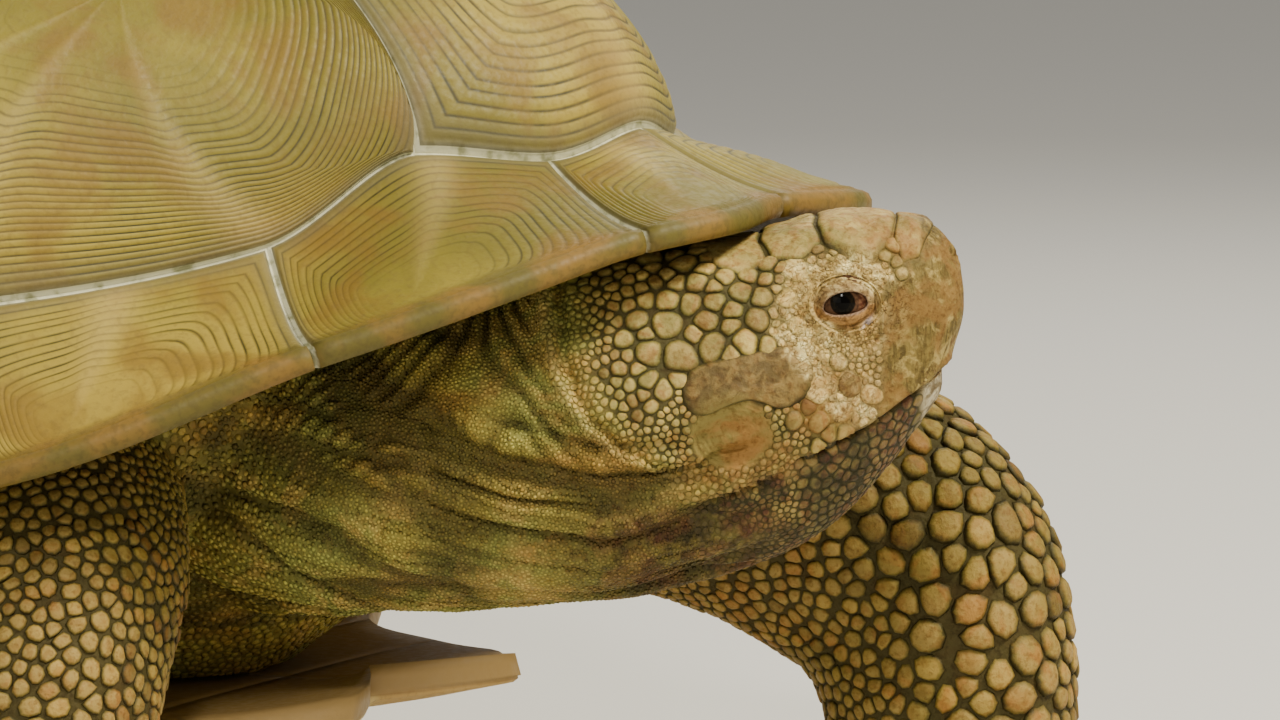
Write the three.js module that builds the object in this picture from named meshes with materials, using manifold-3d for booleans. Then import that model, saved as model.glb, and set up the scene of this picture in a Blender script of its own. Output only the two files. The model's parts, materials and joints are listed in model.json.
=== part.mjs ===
// African spurred tortoise (sulcata), a life-size still model of a large adult in mid stride.
// Millimetres, +X towards the head, +Y to the animal's left, +Z up, soles on z = 0.
// The origin is under the middle of the whole animal's box, on the floor.
//
// The shell is a dome inside a flared band. Two closed curves carry it: the seam, where the dome
// meets the band, and the rim. Both are written against an angle, 0 degrees at the front midline
// and 180 at the tail, and mirrored. Every shell plate is a patch of that surface given thickness.
// The flesh is lofted through sections and parted with thin cuts.

import * as THREE from 'three';
import { mergeVertices } from 'three/addons/utils/BufferGeometryUtils.js';
import Module from 'manifold-3d';

const wasm = await Module();
wasm.setup();

// ---- driving dimensions ----------------------------------------------------------------------
const CUT = 0.3;                   // gap between neighbouring solids
const SEAM_GAP = 2.0;              // groove between shell plates

const CROWN_Z = 374;               // top of the shell
const RIM_HALF_LENGTH = 345;       // middle of the shell to the front and rear rim
const NUCHAL_NOTCH = { depth: 12, width: 8 };
const SEAM_FRONT_X = 284;
const SEAM_REAR_X = 300;
const PLATE = 7;                   // thickness of the dome plates
const RIM_THICKNESS = 8;
const PLATE_BULGE = 4;             // how far the middle of a plate stands proud

// [angle, value] tables of the shell, mirrored left to right
const SEAM_HALF_WIDTH = [[0, 165], [30, 168], [42, 184], [62, 222], [90, 247], [180, 240]];
const SEAM_Z = [[0, 256], [15, 248], [29, 252], [41, 223], [60, 207], [90, 196], [130, 200], [180, 220]];
const RIM_HALF_WIDTH = [[0, 224], [20, 225], [45, 238], [75, 256], [105, 266], [180, 260]];
const RIM_Z = [[0, 236], [12, 234], [20, 230], [28, 221], [42, 199], [62, 160], [80, 147], [110, 144], [140, 156],
  [165, 162], [180, 146]];
const DOME_POWER = [[0, 0.6], [45, 0.58], [90, 0.53], [135, 0.58], [180, 0.66]];
const FLARE_POWER = [[0, 1.5], [42, 2.0], [75, 1.0], [110, 1.0], [145, 1.7], [180, 1.1]];

// where the plates of the band part, along the seam and along the rim
const SEAM_STOPS = [0, 15, 40.5, 60, 75, 90, 105, 119, 132, 145, 157, 168];
const RIM_STOPS = [0, 19.7, 42.3, 60, 76, 90, 104, 118, 131, 144, 156, 168];
const SCALLOP = [2, 3, 3, 0, 0, 0, 2, 5, 8, 8, 6];   // each band plate's rear corner stands out

// the plates of the midline: x of each cross seam, half widths there and at the side corners
const VERTEBRAL_X = [165, 45, -75, -185];
const VERTEBRAL_HALF = [61, 62, 58, 46];
const CORNER_HALF = [86, 92, 80];
const FIRST_CORNER = 29;            // seam angle where plates 1 of midline and side meet
const LAST_CORNER = 160;
const SIDE_STOPS = [FIRST_CORNER, 83, 110, 137, LAST_CORNER];

// ---- small helpers ---------------------------------------------------------------------------
const V = (x, y, z) => new THREE.Vector3(x, y, z);
const radians = THREE.MathUtils.degToRad;
const lerp = THREE.MathUtils.lerp;
const mix = (a, b, t) => a.clone().lerp(b, t);

// a smooth curve through [place, value] pairs, level at both ends and never overshooting
function along(table, place) {
  const last = table.length - 1;
  if (place <= table[0][0]) return table[0][1];
  if (place >= table[last][0]) return table[last][1];
  const slope = (i) => (table[i + 1][1] - table[i][1]) / (table[i + 1][0] - table[i][0]);
  const tangent = (i) => {
    if (i === 0 || i === last) return 0;
    const before = slope(i - 1);
    const after = slope(i);
    return before * after <= 0 ? 0 : (2 * before * after) / (before + after);
  };
  let i = 0;
  while (table[i + 1][0] < place) i += 1;
  const width = table[i + 1][0] - table[i][0];
  const t = (place - table[i][0]) / width;
  const square = t * t;
  const cube = square * t;
  return (2 * cube - 3 * square + 1) * table[i][1] + (cube - 2 * square + t) * width * tangent(i)
    + (3 * square - 2 * cube) * table[i + 1][1] + (cube - square) * width * tangent(i + 1);
}

// a closed mesh from points and faces, turned so that its faces point out
function closedMesh(points, faces) {
  const geometry = new THREE.BufferGeometry();
  let volume = 0;
  for (const [a, b, c] of faces) volume += points[a].dot(points[b].clone().cross(points[c]));
  const index = faces.flatMap(([a, b, c]) => (volume < 0 ? [a, c, b] : [a, b, c]));
  geometry.setAttribute('position', new THREE.Float32BufferAttribute(points.flatMap((p) => p.toArray()), 3));
  geometry.setIndex(index);
  return geometry;
}

function toSolid(geometry) {
  const bare = geometry.clone();
  bare.deleteAttribute('normal');
  bare.deleteAttribute('uv');
  const merged = mergeVertices(bare, 1e-4);
  return new wasm.Manifold(new wasm.Mesh({
    numProp: 3,
    vertProperties: new Float32Array(merged.attributes.position.array),
    triVerts: new Uint32Array(merged.index.array),
  }));
}

function toGeometry(solid) {
  const mesh = solid.getMesh();
  const geometry = new THREE.BufferGeometry();
  geometry.setAttribute('position', new THREE.BufferAttribute(new Float32Array(mesh.vertProperties), 3));
  geometry.setIndex(new THREE.BufferAttribute(new Uint32Array(mesh.triVerts), 1));
  return geometry;
}

// ---- the shell's surface ---------------------------------------------------------------------
// angles run from -180 to 180 and may pass 180 a little, over the tail
function mirrored(angle) {
  const turned = angle > 180 ? angle - 360 : angle;
  return { size: Math.abs(turned), side: Math.sign(turned) || 1 };
}

// the seam between dome and band; a negative angle is on the right side
function seamPoint(angle) {
  const { size, side } = mirrored(angle);
  const length = size < 90 ? SEAM_FRONT_X : SEAM_REAR_X;
  const x = length * Math.cos(radians(size));
  const y = along(SEAM_HALF_WIDTH, size) * Math.sin(radians(size));
  return V(x, side * y, along(SEAM_Z, size));
}

// how far a band plate's rear corner pushes the rim out at this angle
function scallop(size) {
  const plate = RIM_STOPS.findLastIndex((stop) => stop <= size);
  if (plate >= SCALLOP.length) return 0;
  const t = (size - RIM_STOPS[plate]) / (RIM_STOPS[plate + 1] - RIM_STOPS[plate]);
  return SCALLOP[plate] * Math.sin(Math.PI * t ** 1.6);
}

function rimPoint(angle) {
  const { size, side } = mirrored(angle);
  const notch = NUCHAL_NOTCH.depth * Math.exp(-((size / NUCHAL_NOTCH.width) ** 2));
  const out = 1 + scallop(size) / RIM_HALF_LENGTH;
  const x = RIM_HALF_LENGTH * Math.cos(radians(size)) * out - notch;
  const y = along(RIM_HALF_WIDTH, size) * Math.sin(radians(size)) * out;
  return V(x, side * y, along(RIM_Z, size));
}

// seam angle and share of the way out from the crown, for a place in plan
function polar(x, y) {
  const target = Math.atan2(Math.abs(y), x);
  let low = 0;
  let high = 180;
  for (let step = 0; step < 30; step += 1) {
    const middle = (low + high) / 2;
    const p = seamPoint(middle);
    if (Math.atan2(p.y, p.x) < target) low = middle;
    else high = middle;
  }
  const edge = seamPoint(low);
  return { angle: low, share: Math.min(Math.hypot(x, y) / Math.hypot(edge.x, edge.y), 1) };
}

function domePoint(x, y) {
  const { angle, share } = polar(x, y);
  const base = along(SEAM_Z, angle);
  return V(x, y, base + (CROWN_Z - base) * (1 - share * share) ** along(DOME_POWER, angle));
}

// the way through the shell's thickness: the normal of an ellipsoid round the body
function outward(p) {
  return V(p.x / 300 ** 2, p.y / 245 ** 2, (p.z - 150) / 235 ** 2).normalize();
}

// the band between seam and rim, at a share of the way round a plate and out to the rim
function bandPoint(seamAngle, rimAngle, out) {
  const inner = seamPoint(seamAngle);
  const outer = rimPoint(rimAngle);
  const p = mix(inner, outer, out);
  p.z = lerp(inner.z, outer.z, 1 - (1 - out) ** along(FLARE_POWER, Math.abs(rimAngle)));
  return p;
}

// ---- plates ----------------------------------------------------------------------------------
// A plate is a patch point(u, v) with thickness along inward(u, v), drawn in from its borders by
// half the groove. nose rounds the edge at v = 1.
function plate({ point, inward, nu, nv, gapSides = [1, 1, 1, 1], nose = 0 }) {
  const lengthU = point(0, 0.5).distanceTo(point(1, 0.5));
  const lengthV = point(0.5, 0).distanceTo(point(0.5, 1));
  const insetU = SEAM_GAP / 2 / lengthU;
  const insetV = SEAM_GAP / 2 / lengthV;
  const outer = [];
  const inner = [];
  for (let j = 0; j <= nv; j += 1) {
    for (let i = 0; i <= nu; i += 1) {
      const u = lerp(insetU * gapSides[0], 1 - insetU * gapSides[1], i / nu);
      const v = lerp(insetV * gapSides[2], 1 - insetV * gapSides[3], j / nv);
      const bulge = PLATE_BULGE * Math.sin(Math.PI * u) * Math.sin(Math.PI * v);
      const depth = inward(u, v);
      const p = point(u, v);
      outer.push(p.clone().addScaledVector(depth.clone().normalize(), -bulge));
      inner.push(p.clone().add(depth));
    }
  }
  const points = [...outer, ...inner];
  const back = outer.length;
  const at = (i, j) => j * (nu + 1) + i;
  const faces = [];
  const quad = (a, b, c, d) => faces.push([a, b, c], [a, c, d]);
  for (let j = 0; j < nv; j += 1) {
    for (let i = 0; i < nu; i += 1) {
      quad(at(i, j), at(i + 1, j), at(i + 1, j + 1), at(i, j + 1));
      quad(back + at(i, j), back + at(i, j + 1), back + at(i + 1, j + 1), back + at(i + 1, j));
    }
  }
  for (let i = 0; i < nu; i += 1) quad(at(i, 0), back + at(i, 0), back + at(i + 1, 0), at(i + 1, 0));
  for (let j = 0; j < nv; j += 1) {
    quad(at(0, j + 1), back + at(0, j + 1), back + at(0, j), at(0, j));
    quad(at(nu, j), back + at(nu, j), back + at(nu, j + 1), at(nu, j + 1));
  }
  if (!nose) {
    for (let i = 0; i < nu; i += 1) quad(at(i, nv), at(i + 1, nv), back + at(i + 1, nv), back + at(i, nv));
    return closedMesh(points, faces);
  }
  const tip = points.length;
  for (let i = 0; i <= nu; i += 1) {
    const edge = outer[at(i, nv)];
    const middle = mix(edge, inner[at(i, nv)], 0.5);
    points.push(middle.addScaledVector(edge.clone().sub(outer[at(i, nv - 1)]).normalize(), nose));
  }
  for (let i = 0; i < nu; i += 1) {
    quad(at(i, nv), at(i + 1, nv), tip + i + 1, tip + i);
    quad(tip + i, tip + i + 1, back + at(i + 1, nv), back + at(i, nv));
  }
  // the two triangles that close the nose's ends
  faces.push([at(0, nv), tip, back + at(0, nv)], [at(nu, nv), back + at(nu, nv), tip + nu]);
  return closedMesh(points, faces);
}

const plan = (x, y) => new THREE.Vector2(x, y);
const seamPlan = (angle) => {
  const p = seamPoint(angle);
  return plan(p.x, p.y);
};

function domePlate(planPoint, nu, nv) {
  const point = (u, v) => {
    const at = planPoint(u, v);
    return domePoint(at.x, at.y);
  };
  return plate({ point, inward: (u, v) => outward(point(u, v)).multiplyScalar(-PLATE), nu, nv });
}

// plates of the midline, front to rear; u runs from right to left
function vertebral(number) {
  const front = number - 2;
  const rear = number - 1;
  const cross = (i, u) => plan(VERTEBRAL_X[i], lerp(-1, 1, u) * VERTEBRAL_HALF[i]);
  if (number === 1) {
    return domePlate((u, v) => seamPlan(lerp(-1, 1, u) * FIRST_CORNER).lerp(cross(0, u), v ** 1.3), 8, 4);
  }
  if (number === 5) {
    return domePlate((u, v) => {
      const angle = u < 0.5 ? -lerp(LAST_CORNER, 180, 2 * u) : lerp(180, LAST_CORNER, 2 * u - 1);
      return cross(3, u).lerp(seamPlan(angle), 1 - (1 - v) ** 1.3);
    }, 8, 4);
  }
  return domePlate((u, v) => {
    const x = lerp(VERTEBRAL_X[front], VERTEBRAL_X[rear], v);
    const half = v < 0.5
      ? lerp(VERTEBRAL_HALF[front], CORNER_HALF[front], 2 * v)
      : lerp(CORNER_HALF[front], VERTEBRAL_HALF[rear], 2 * v - 1);
    return plan(x, lerp(-1, 1, u) * half);
  }, 6, 4);
}

// plates of the side, front to rear; u runs rearwards and v from the seam up to the midline row
function pleural(number, side) {
  const corner = (i) => {
    if (i === 0) return seamPlan(side * FIRST_CORNER);
    if (i === 4) return seamPlan(side * LAST_CORNER);
    return plan((VERTEBRAL_X[i - 1] + VERTEBRAL_X[i]) / 2, side * CORNER_HALF[i - 1]);
  };
  const middle = plan(VERTEBRAL_X[number - 1], side * VERTEBRAL_HALF[number - 1]);
  return domePlate((u, v) => {
    const low = seamPlan(side * lerp(SIDE_STOPS[number - 1], SIDE_STOPS[number], u));
    const high = u < 0.5
      ? corner(number - 1).clone().lerp(middle, 2 * u)
      : middle.clone().lerp(corner(number), 2 * u - 1);
    return low.lerp(high, v ** 1.5);
  }, 8, 4);
}

// plates of the band; u runs from one end angle to the other
function bandPlate(seamFrom, seamTo, rimFrom, rimTo) {
  const point = (u, v) => bandPoint(lerp(seamFrom, seamTo, u), lerp(rimFrom, rimTo, u), v);
  const step = 0.01;
  const inward = (u, v) => {
    const rimAngle = lerp(rimFrom, rimTo, u);
    const seamAngle = lerp(seamFrom, seamTo, u);
    const near = Math.min(v, 1 - step);
    const down = bandPoint(seamAngle, rimAngle, near + step).sub(bandPoint(seamAngle, rimAngle, near));
    const round = bandPoint(seamAngle, rimAngle + 0.5, near).sub(bandPoint(seamAngle, rimAngle - 0.5, near));
    const own = down.cross(round).normalize();
    if (own.dot(outward(point(u, near))) < 0) own.negate();
    const blend = Math.min(1, v * 1.6);
    const direction = mix(outward(point(u, v)), own, blend).normalize();
    return direction.multiplyScalar(-lerp(PLATE + 1, RIM_THICKNESS, v));
  };
  return plate({ point, inward, nu: 4, nv: 3, gapSides: [1, 1, 1, 0], nose: 3 });
}

// ---- the plastron, the shell's floor ---------------------------------------------------------
const FLOOR_Z = 57;
const FLOOR_THICKNESS = 11;
const BRIDGE_TOP = 131;
const BRIDGE = { inner: 140, outer: 247 };          // half widths where the bridge starts and ends
const FLOOR_PLATES = [['gular', 208, 150], ['humeral', 150, 104], ['pectoral', 104, 62],
  ['abdominal', 62, -84], ['femoral', -84, -190], ['anal', -190, -292]];
const FLOOR_HALF_WIDTH = [[-292, 66], [-262, 86], [-190, 102], [-146, 106], [-124, 128], [-106, 192], [-88, 240],
  [-60, 248], [50, 248], [70, 234], [84, 196], [98, 148], [120, 122], [150, 106], [185, 84], [208, 58]];
const GULAR_FORK = 26;
const ANAL_FORK = 34;

function floorPlate(front, rear, side) {
  const isGular = front === FLOOR_PLATES[0][1];
  const isAnal = rear === FLOOR_PLATES.at(-1)[2];
  const point = (u, v) => {
    const x = lerp(front, rear, u);
    const y = v * along(FLOOR_HALF_WIDTH, x);
    const fork = (isGular ? -GULAR_FORK * (1 - u) ** 2 : 0) + (isAnal ? ANAL_FORK * u * u : 0);
    const bridge = THREE.MathUtils.smoothstep(y, BRIDGE.inner, BRIDGE.outer);
    const lift = (BRIDGE_TOP - FLOOR_Z) * bridge + (isGular ? 6 * (1 - u) ** 2 : 0);
    return V(x + fork * (1 - v) ** 1.5, side * y, FLOOR_Z + lift);
  };
  const inward = (u, v) => V(0, -side * 0.5 * v * v, 1).normalize().multiplyScalar(FLOOR_THICKNESS);
  return plate({ point, inward, nu: 2, nv: 6, gapSides: [1, 1, 1, 0] });
}

// ---- flesh: lofts through rings --------------------------------------------------------------
// A ring is a superellipse round its middle: across and upward are its half sizes as vectors, and
// power 2 is round, more is boxy.
function ring({ middle, across, upward, power = 2, grow = 0 }, sides) {
  const points = [];
  const shape = (value) => Math.sign(value) * Math.abs(value) ** (2 / power);
  for (let i = 0; i < sides; i += 1) {
    const turn = (2 * Math.PI * i) / sides;
    const wide = across.length() + grow;
    const high = upward.length() + grow;
    points.push(middle.clone()
      .addScaledVector(across.clone().normalize(), wide * shape(Math.cos(turn)))
      .addScaledVector(upward.clone().normalize(), high * shape(Math.sin(turn))));
  }
  return points;
}

function loft(stations, sides, shift = (p) => p) {
  const points = [];
  const faces = [];
  stations.forEach((station) => points.push(...ring(station, sides).map((p) => shift(p))));
  for (let j = 0; j < stations.length - 1; j += 1) {
    for (let i = 0; i < sides; i += 1) {
      const next = (i + 1) % sides;
      const a = j * sides + i;
      const b = j * sides + next;
      faces.push([a, b, b + sides], [a, b + sides, a + sides]);
    }
  }
  const ends = [0, stations.length - 1];
  ends.forEach((j, end) => {
    const hub = points.length;
    const start = j * sides;
    const rim = points.slice(start, start + sides);
    const middle = rim.reduce((sum, p) => sum.add(p), V(0, 0, 0)).multiplyScalar(1 / sides);
    points.push(middle);
    for (let i = 0; i < sides; i += 1) {
      const next = start + ((i + 1) % sides);
      faces.push(end === 0 ? [start + i, hub, next] : [next, hub, start + i]);
    }
  });
  return closedMesh(points, faces);
}

// ---- head and neck ---------------------------------------------------------------------------
const HEAD_TURN = 28;                                  // degrees to the animal's left
const HEAD_MIDDLE = V(357, -4, 0);                     // between the eyes, in plan
const HEAD_FORWARD = V(Math.cos(radians(HEAD_TURN)), Math.sin(radians(HEAD_TURN)), 0);
const HEAD_LEFT = V(-HEAD_FORWARD.y, HEAD_FORWARD.x, 0);
const HEAD_CUT = -47;                                  // where the neck takes over
// [distance ahead of the eyes, top, bottom, half width, boxiness]
const HEAD_SECTIONS = [
  [37.5, 209, 194, 6, 2.2], [36.5, 215, 188, 11, 2.4], [33, 222.5, 175, 16, 2.6], [27, 228, 166, 20.5, 2.6],
  [19, 230, 156, 25, 2.7], [10, 230, 146, 29, 2.7], [0, 230, 136, 32.5, 2.6], [-10, 228.5, 128, 36, 2.5],
  [-22, 225, 122, 39.5, 2.4], [-34, 221, 117.5, 42, 2.3], [-47, 217, 114, 43, 2.2],
];
// [middle x, middle y, top, bottom, half width] from the nape to inside the trunk
const NECK_SECTIONS = [
  [300, -36, 213.5, 110, 43.5], [280, -43, 210.5, 107, 45], [258, -48, 207, 104, 47], [232, -49, 204, 101, 49.5],
  [205, -45, 202, 98, 52], [175, -35, 201, 96, 55], [145, -21, 202, 96, 58], [110, -5, 203, 98, 60],
];
const EYE = { forward: 0, z: 206, out: 26.5, radius: 7.6 };
const SOCKET = { depth: 4.5, reach: 11 };
const CHEEK = { forward: -31, z: 171, proud: 3, reach: 15 };
const BROW = { forward: -2, z: 219, proud: 2.2, reach: 8 };
const THROAT_TAPER = { below: 172, reach: 60, share: 0.24 };
const MOUTH = {
  line: [[-13, 157.5], [-2, 164], [6, 168], [18, 177], [32, 185.5], [42, 190]],   // ahead of the eyes, z
  gap: 1.4,
  depth: 4,
};
const JAW_HOLLOW = { forward: -12, z: 147, depth: 3, reach: 14 };

const headPoint = (forward, left, z) => HEAD_MIDDLE.clone()
  .addScaledVector(HEAD_FORWARD, forward).addScaledVector(HEAD_LEFT, left).setZ(z);

// eye sockets, brows, cheeks and the hollow under the jaw's corner push the head's sides in or out
function carveHead(p) {
  const local = p.clone().sub(HEAD_MIDDLE);
  const forward = local.dot(HEAD_FORWARD);
  const left = local.dot(HEAD_LEFT);
  const near = (spot) => Math.exp(-((forward - spot.forward) ** 2 + (p.z - spot.z) ** 2) / spot.reach ** 2);
  const push = BROW.proud * near(BROW) + CHEEK.proud * near(CHEEK) - JAW_HOLLOW.depth * near(JAW_HOLLOW)
    - SOCKET.depth * near({ ...EYE, ...SOCKET });
  const ahead = THREE.MathUtils.smoothstep(forward, -75, -30);
  const low = Math.max(0, THROAT_TAPER.below - p.z) / THROAT_TAPER.reach;
  const taper = left * THROAT_TAPER.share * low * ahead;
  const move = Math.sign(left) * push * Math.min(1, Math.abs(left) / 12) - taper;
  return p.clone().addScaledVector(HEAD_LEFT, move);
}

function headAndNeck(grow) {
  const stations = HEAD_SECTIONS.map(([forward, top, bottom, half, power]) => ({
    middle: headPoint(forward, 0, (top + bottom) / 2),
    across: HEAD_LEFT.clone().multiplyScalar(half),
    upward: V(0, 0, (top - bottom) / 2),
    power,
    grow,
  }));
  const spine = [stations.at(-1).middle, ...NECK_SECTIONS.map(([x, y, top, bottom]) => V(x, y, (top + bottom) / 2))];
  NECK_SECTIONS.forEach(([x, y, top, bottom, half], i) => {
    const ahead = spine[i];
    const behind = spine[Math.min(i + 2, spine.length - 1)];
    const heading = ahead.clone().sub(behind).setZ(0).normalize();
    stations.push({
      middle: V(x, y, (top + bottom) / 2),
      across: V(-heading.y, heading.x, 0).multiplyScalar(half),
      upward: V(0, 0, (top - bottom) / 2),
      power: 2.1,
      grow,
    });
  });
  return loft(stations, 30, carveHead);
}

// the line between the jaws, a thin slot that goes round the beak
function mouthSlot() {
  const edge = (shift) => MOUTH.line.map(([forward, z]) => plan(forward, z + shift));
  const shape = new THREE.Shape([...edge(MOUTH.gap / 2), ...edge(-MOUTH.gap / 2).reverse()]);
  const width = 120;
  const band = new THREE.ExtrudeGeometry(shape, { depth: width, bevelEnabled: false });
  band.translate(0, 0, -width / 2);
  band.rotateX(Math.PI / 2);
  band.rotateZ(radians(HEAD_TURN));
  band.translate(HEAD_MIDDLE.x, HEAD_MIDDLE.y, 0);
  return toSolid(band).subtract(toSolid(headAndNeck(-MOUTH.depth)));
}

// ---- legs ------------------------------------------------------------------------------------
// A leg runs down through its joints to a sole on the floor. Each section is
// [x, y, z, half size fore and aft, half size across] and lies square to the leg's run.
const FORE_CLAWS = 5;
const HIND_CLAWS = 4;
const CLAW = { length: 27, radius: 8.5, dip: 12, sides: 6, out: 34, lift: 3, fan: 50 };

const LEGS = {
  foreleg_left: {
    claws: FORE_CLAWS,
    toeTurn: -8,
    sections: [[165, 84, 142, 50, 42], [215, 104, 140, 51, 43], [262, 120, 130, 51, 44], [300, 131, 112, 52, 43],
      [321, 136, 88, 50, 40], [328, 138, 62, 46, 38], [330, 139, 36, 43, 38], [331, 139, 13, 46, 42],
      [331, 139, 0, 45, 41]],
  },
  foreleg_right: {
    claws: FORE_CLAWS,
    toeTurn: 8,
    sections: [[112, -88, 142, 50, 42], [130, -116, 136, 50, 43], [144, -142, 120, 50, 44], [151, -160, 98, 49, 43],
      [152, -170, 76, 47, 40], [149, -174, 54, 44, 38], [147, -175, 32, 43, 38], [146, -175, 12, 46, 42],
      [146, -175, 0, 45, 41]],
  },
  hindleg_left: {
    claws: HIND_CLAWS,
    toeTurn: 6,
    sections: [[-180, 92, 152, 56, 44], [-196, 122, 144, 56, 45], [-210, 146, 124, 54, 44], [-224, 161, 96, 48, 42],
      [-234, 167, 66, 42, 40], [-240, 169, 36, 40, 39], [-242, 170, 12, 43, 42], [-242, 170, 0, 42, 41]],
  },
  hindleg_right: {
    claws: HIND_CLAWS,
    toeTurn: -6,
    sections: [[-166, -92, 152, 56, 44], [-166, -122, 144, 56, 45], [-166, -147, 124, 54, 44],
      [-168, -163, 96, 49, 42], [-175, -169, 66, 43, 40], [-181, -171, 36, 40, 39], [-184, -172, 12, 43, 42],
      [-184, -172, 0, 42, 41]],
  },
};

// a claw that leaves the foot in the direction heading, in degrees
function claw([x, y], heading) {
  const turn = radians(heading);
  const away = V(Math.cos(turn), Math.sin(turn), 0);
  const start = V(x, y, CLAW.radius + CLAW.lift).addScaledVector(away, CLAW.out);
  const shape = new THREE.ConeGeometry(CLAW.radius, CLAW.length, CLAW.sides);
  shape.rotateZ(-Math.PI / 2);                       // the tip points along +X
  shape.translate(CLAW.length / 2, 0, 0);
  shape.rotateY(radians(CLAW.dip));                  // and dips to the floor
  shape.rotateZ(turn);
  shape.translate(start.x, start.y, start.z);
  return toSolid(shape);
}

function leg({ sections, claws, toeTurn }) {
  const spine = sections.map(([x, y, z]) => V(x, y, z));
  const stations = sections.map(([, , , fore, across], i) => {
    const ahead = spine[Math.min(i + 1, spine.length - 1)];
    const behind = spine[Math.max(i - 1, 0)];
    const down = ahead.clone().sub(behind).normalize();
    const isFoot = i > sections.length - 4;
    if (isFoot) down.set(0, 0, -1);
    const side = V(0, 1, 0).addScaledVector(down, -down.y).normalize();
    const front = side.clone().cross(down).negate();
    return {
      middle: spine[i],
      across: front.multiplyScalar(fore),
      upward: side.multiplyScalar(across),
      power: 2.2,
    };
  });
  let solid = toSolid(loft(stations, 16));
  for (let i = 0; i < claws; i += 1) {
    const spread = lerp(-CLAW.fan, CLAW.fan, i / (claws - 1));
    solid = solid.add(claw(sections.at(-1), toeTurn + spread));
  }
  return solid;
}

// ---- tail ------------------------------------------------------------------------------------
const TAIL_SECTIONS = [[-225, 142, 40], [-262, 130, 38], [-290, 114, 32], [-310, 95, 24], [-321, 77, 15],
  [-326, 62, 6]];
const TAIL_LEAN = [18, 72];        // degrees from upright, at the root and the tip

function tail() {
  const stations = TAIL_SECTIONS.map(([x, z, half], i) => {
    const lean = radians(lerp(...TAIL_LEAN, i / (TAIL_SECTIONS.length - 1)));
    return {
      middle: V(x, 0, z),
      across: V(0, half, 0),
      upward: V(-Math.sin(lean), 0, Math.cos(lean)).multiplyScalar(half * 0.85),
    };
  });
  return toSolid(loft(stations, 12));
}

// ---- trunk -----------------------------------------------------------------------------------
// the body inside the shell, open to view in front and behind, round the legs and neck
const TRUNK_CLEARANCE = 4;
const TRUNK_SHARES = [0.3, 0.6, 0.8, 0.91];
const TRUNK_WALL = { share: 0.92, drop: 16 };
const TRUNK_LOWER = { share: 0.78, z: 130 };
const TRUNK_FLOOR = { share: 0.5, z: FLOOR_Z + FLOOR_THICKNESS + 1 };

function trunk(grow) {
  const sides = 30;
  const points = [V(0, 0, CROWN_Z - PLATE - TRUNK_CLEARANCE + grow)];
  const faces = [];
  const rings = [];
  for (const share of TRUNK_SHARES) {
    rings.push((angle) => {
      const edge = seamPoint(angle);
      const p = domePoint(edge.x * share, edge.y * share);
      return p.addScaledVector(outward(p), grow - PLATE - TRUNK_CLEARANCE);
    });
  }
  const level = ({ share }, z) => (angle) => {
    const edge = seamPoint(angle);
    const away = V(edge.x, edge.y, 0).normalize();
    return V(edge.x * share, edge.y * share, z(edge)).addScaledVector(away, grow);
  };
  rings.push(level(TRUNK_WALL, (edge) => edge.z - TRUNK_WALL.drop));
  rings.push(level(TRUNK_LOWER, () => TRUNK_LOWER.z));
  rings.push(level(TRUNK_FLOOR, () => TRUNK_FLOOR.z - grow));
  rings.forEach((place) => {
    for (let i = 0; i < sides; i += 1) points.push(place(lerp(-180, 180, i / sides)));
  });
  const bottom = points.length;
  points.push(V(0, 0, TRUNK_FLOOR.z - grow));
  const at = (j, i) => 1 + j * sides + (i % sides);
  for (let i = 0; i < sides; i += 1) {
    faces.push([0, at(0, i), at(0, i + 1)]);
    for (let j = 0; j < rings.length - 1; j += 1) {
      faces.push([at(j, i), at(j + 1, i), at(j + 1, i + 1)], [at(j, i), at(j + 1, i + 1), at(j, i + 1)]);
    }
    faces.push([bottom, at(rings.length - 1, i + 1), at(rings.length - 1, i)]);
  }
  return toSolid(closedMesh(points, faces));
}

// ---- colours ---------------------------------------------------------------------------------
const finish = (color, roughness) => new THREE.MeshStandardMaterial({ color, roughness, metalness: 0 });
const HORN = finish(0xa8905a, 0.55);
const HORN_BELOW = finish(0xc2a878, 0.6);
const SKIN = finish(0x8f7548, 0.8);
const HEAD_SKIN = finish(0xa98a5c, 0.75);
const EYEBALL = finish(0x17110c, 0.1);

// ---- assembly --------------------------------------------------------------------------------
const animal = new THREE.Group();
function addNode(name, geometry, material) {
  const shaped = geometry.toNonIndexed();
  shaped.computeVertexNormals();
  const mesh = new THREE.Mesh(shaped, material);
  mesh.name = name;
  animal.add(mesh);
  return mesh;
}

for (let i = 1; i <= 5; i += 1) addNode(`vertebral_${i}`, vertebral(i), HORN);
for (const [name, side] of [['left', 1], ['right', -1]]) {
  for (let i = 1; i <= 4; i += 1) addNode(`pleural_${name}_${i}`, pleural(i, side), HORN);
  for (let i = 1; i < SEAM_STOPS.length; i += 1) {
    const ends = [SEAM_STOPS[i - 1], SEAM_STOPS[i], RIM_STOPS[i - 1], RIM_STOPS[i]].map((stop) => side * stop);
    addNode(`marginal_${name}_${i}`, bandPlate(...ends), HORN);
  }
  for (const [plateName, front, rear] of FLOOR_PLATES) {
    addNode(`${plateName}_${name}`, floorPlate(front, rear, side), HORN_BELOW);
  }
}
addNode('supracaudal', bandPlate(SEAM_STOPS.at(-1), 360 - SEAM_STOPS.at(-1), RIM_STOPS.at(-1),
  360 - RIM_STOPS.at(-1)), HORN);

// a block over all that lies ahead of (+1) or behind (-1) the cut between head and neck, which
// starts half a gap early
function beyondCut(direction) {
  const size = 800;
  const block = new THREE.BoxGeometry(size, size, size);
  block.translate(direction * (size - CUT) / 2, 0, 0);
  block.rotateZ(radians(HEAD_TURN));
  const at = headPoint(HEAD_CUT, 0, 0);
  block.translate(at.x, at.y, 0);
  return toSolid(block);
}

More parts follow.
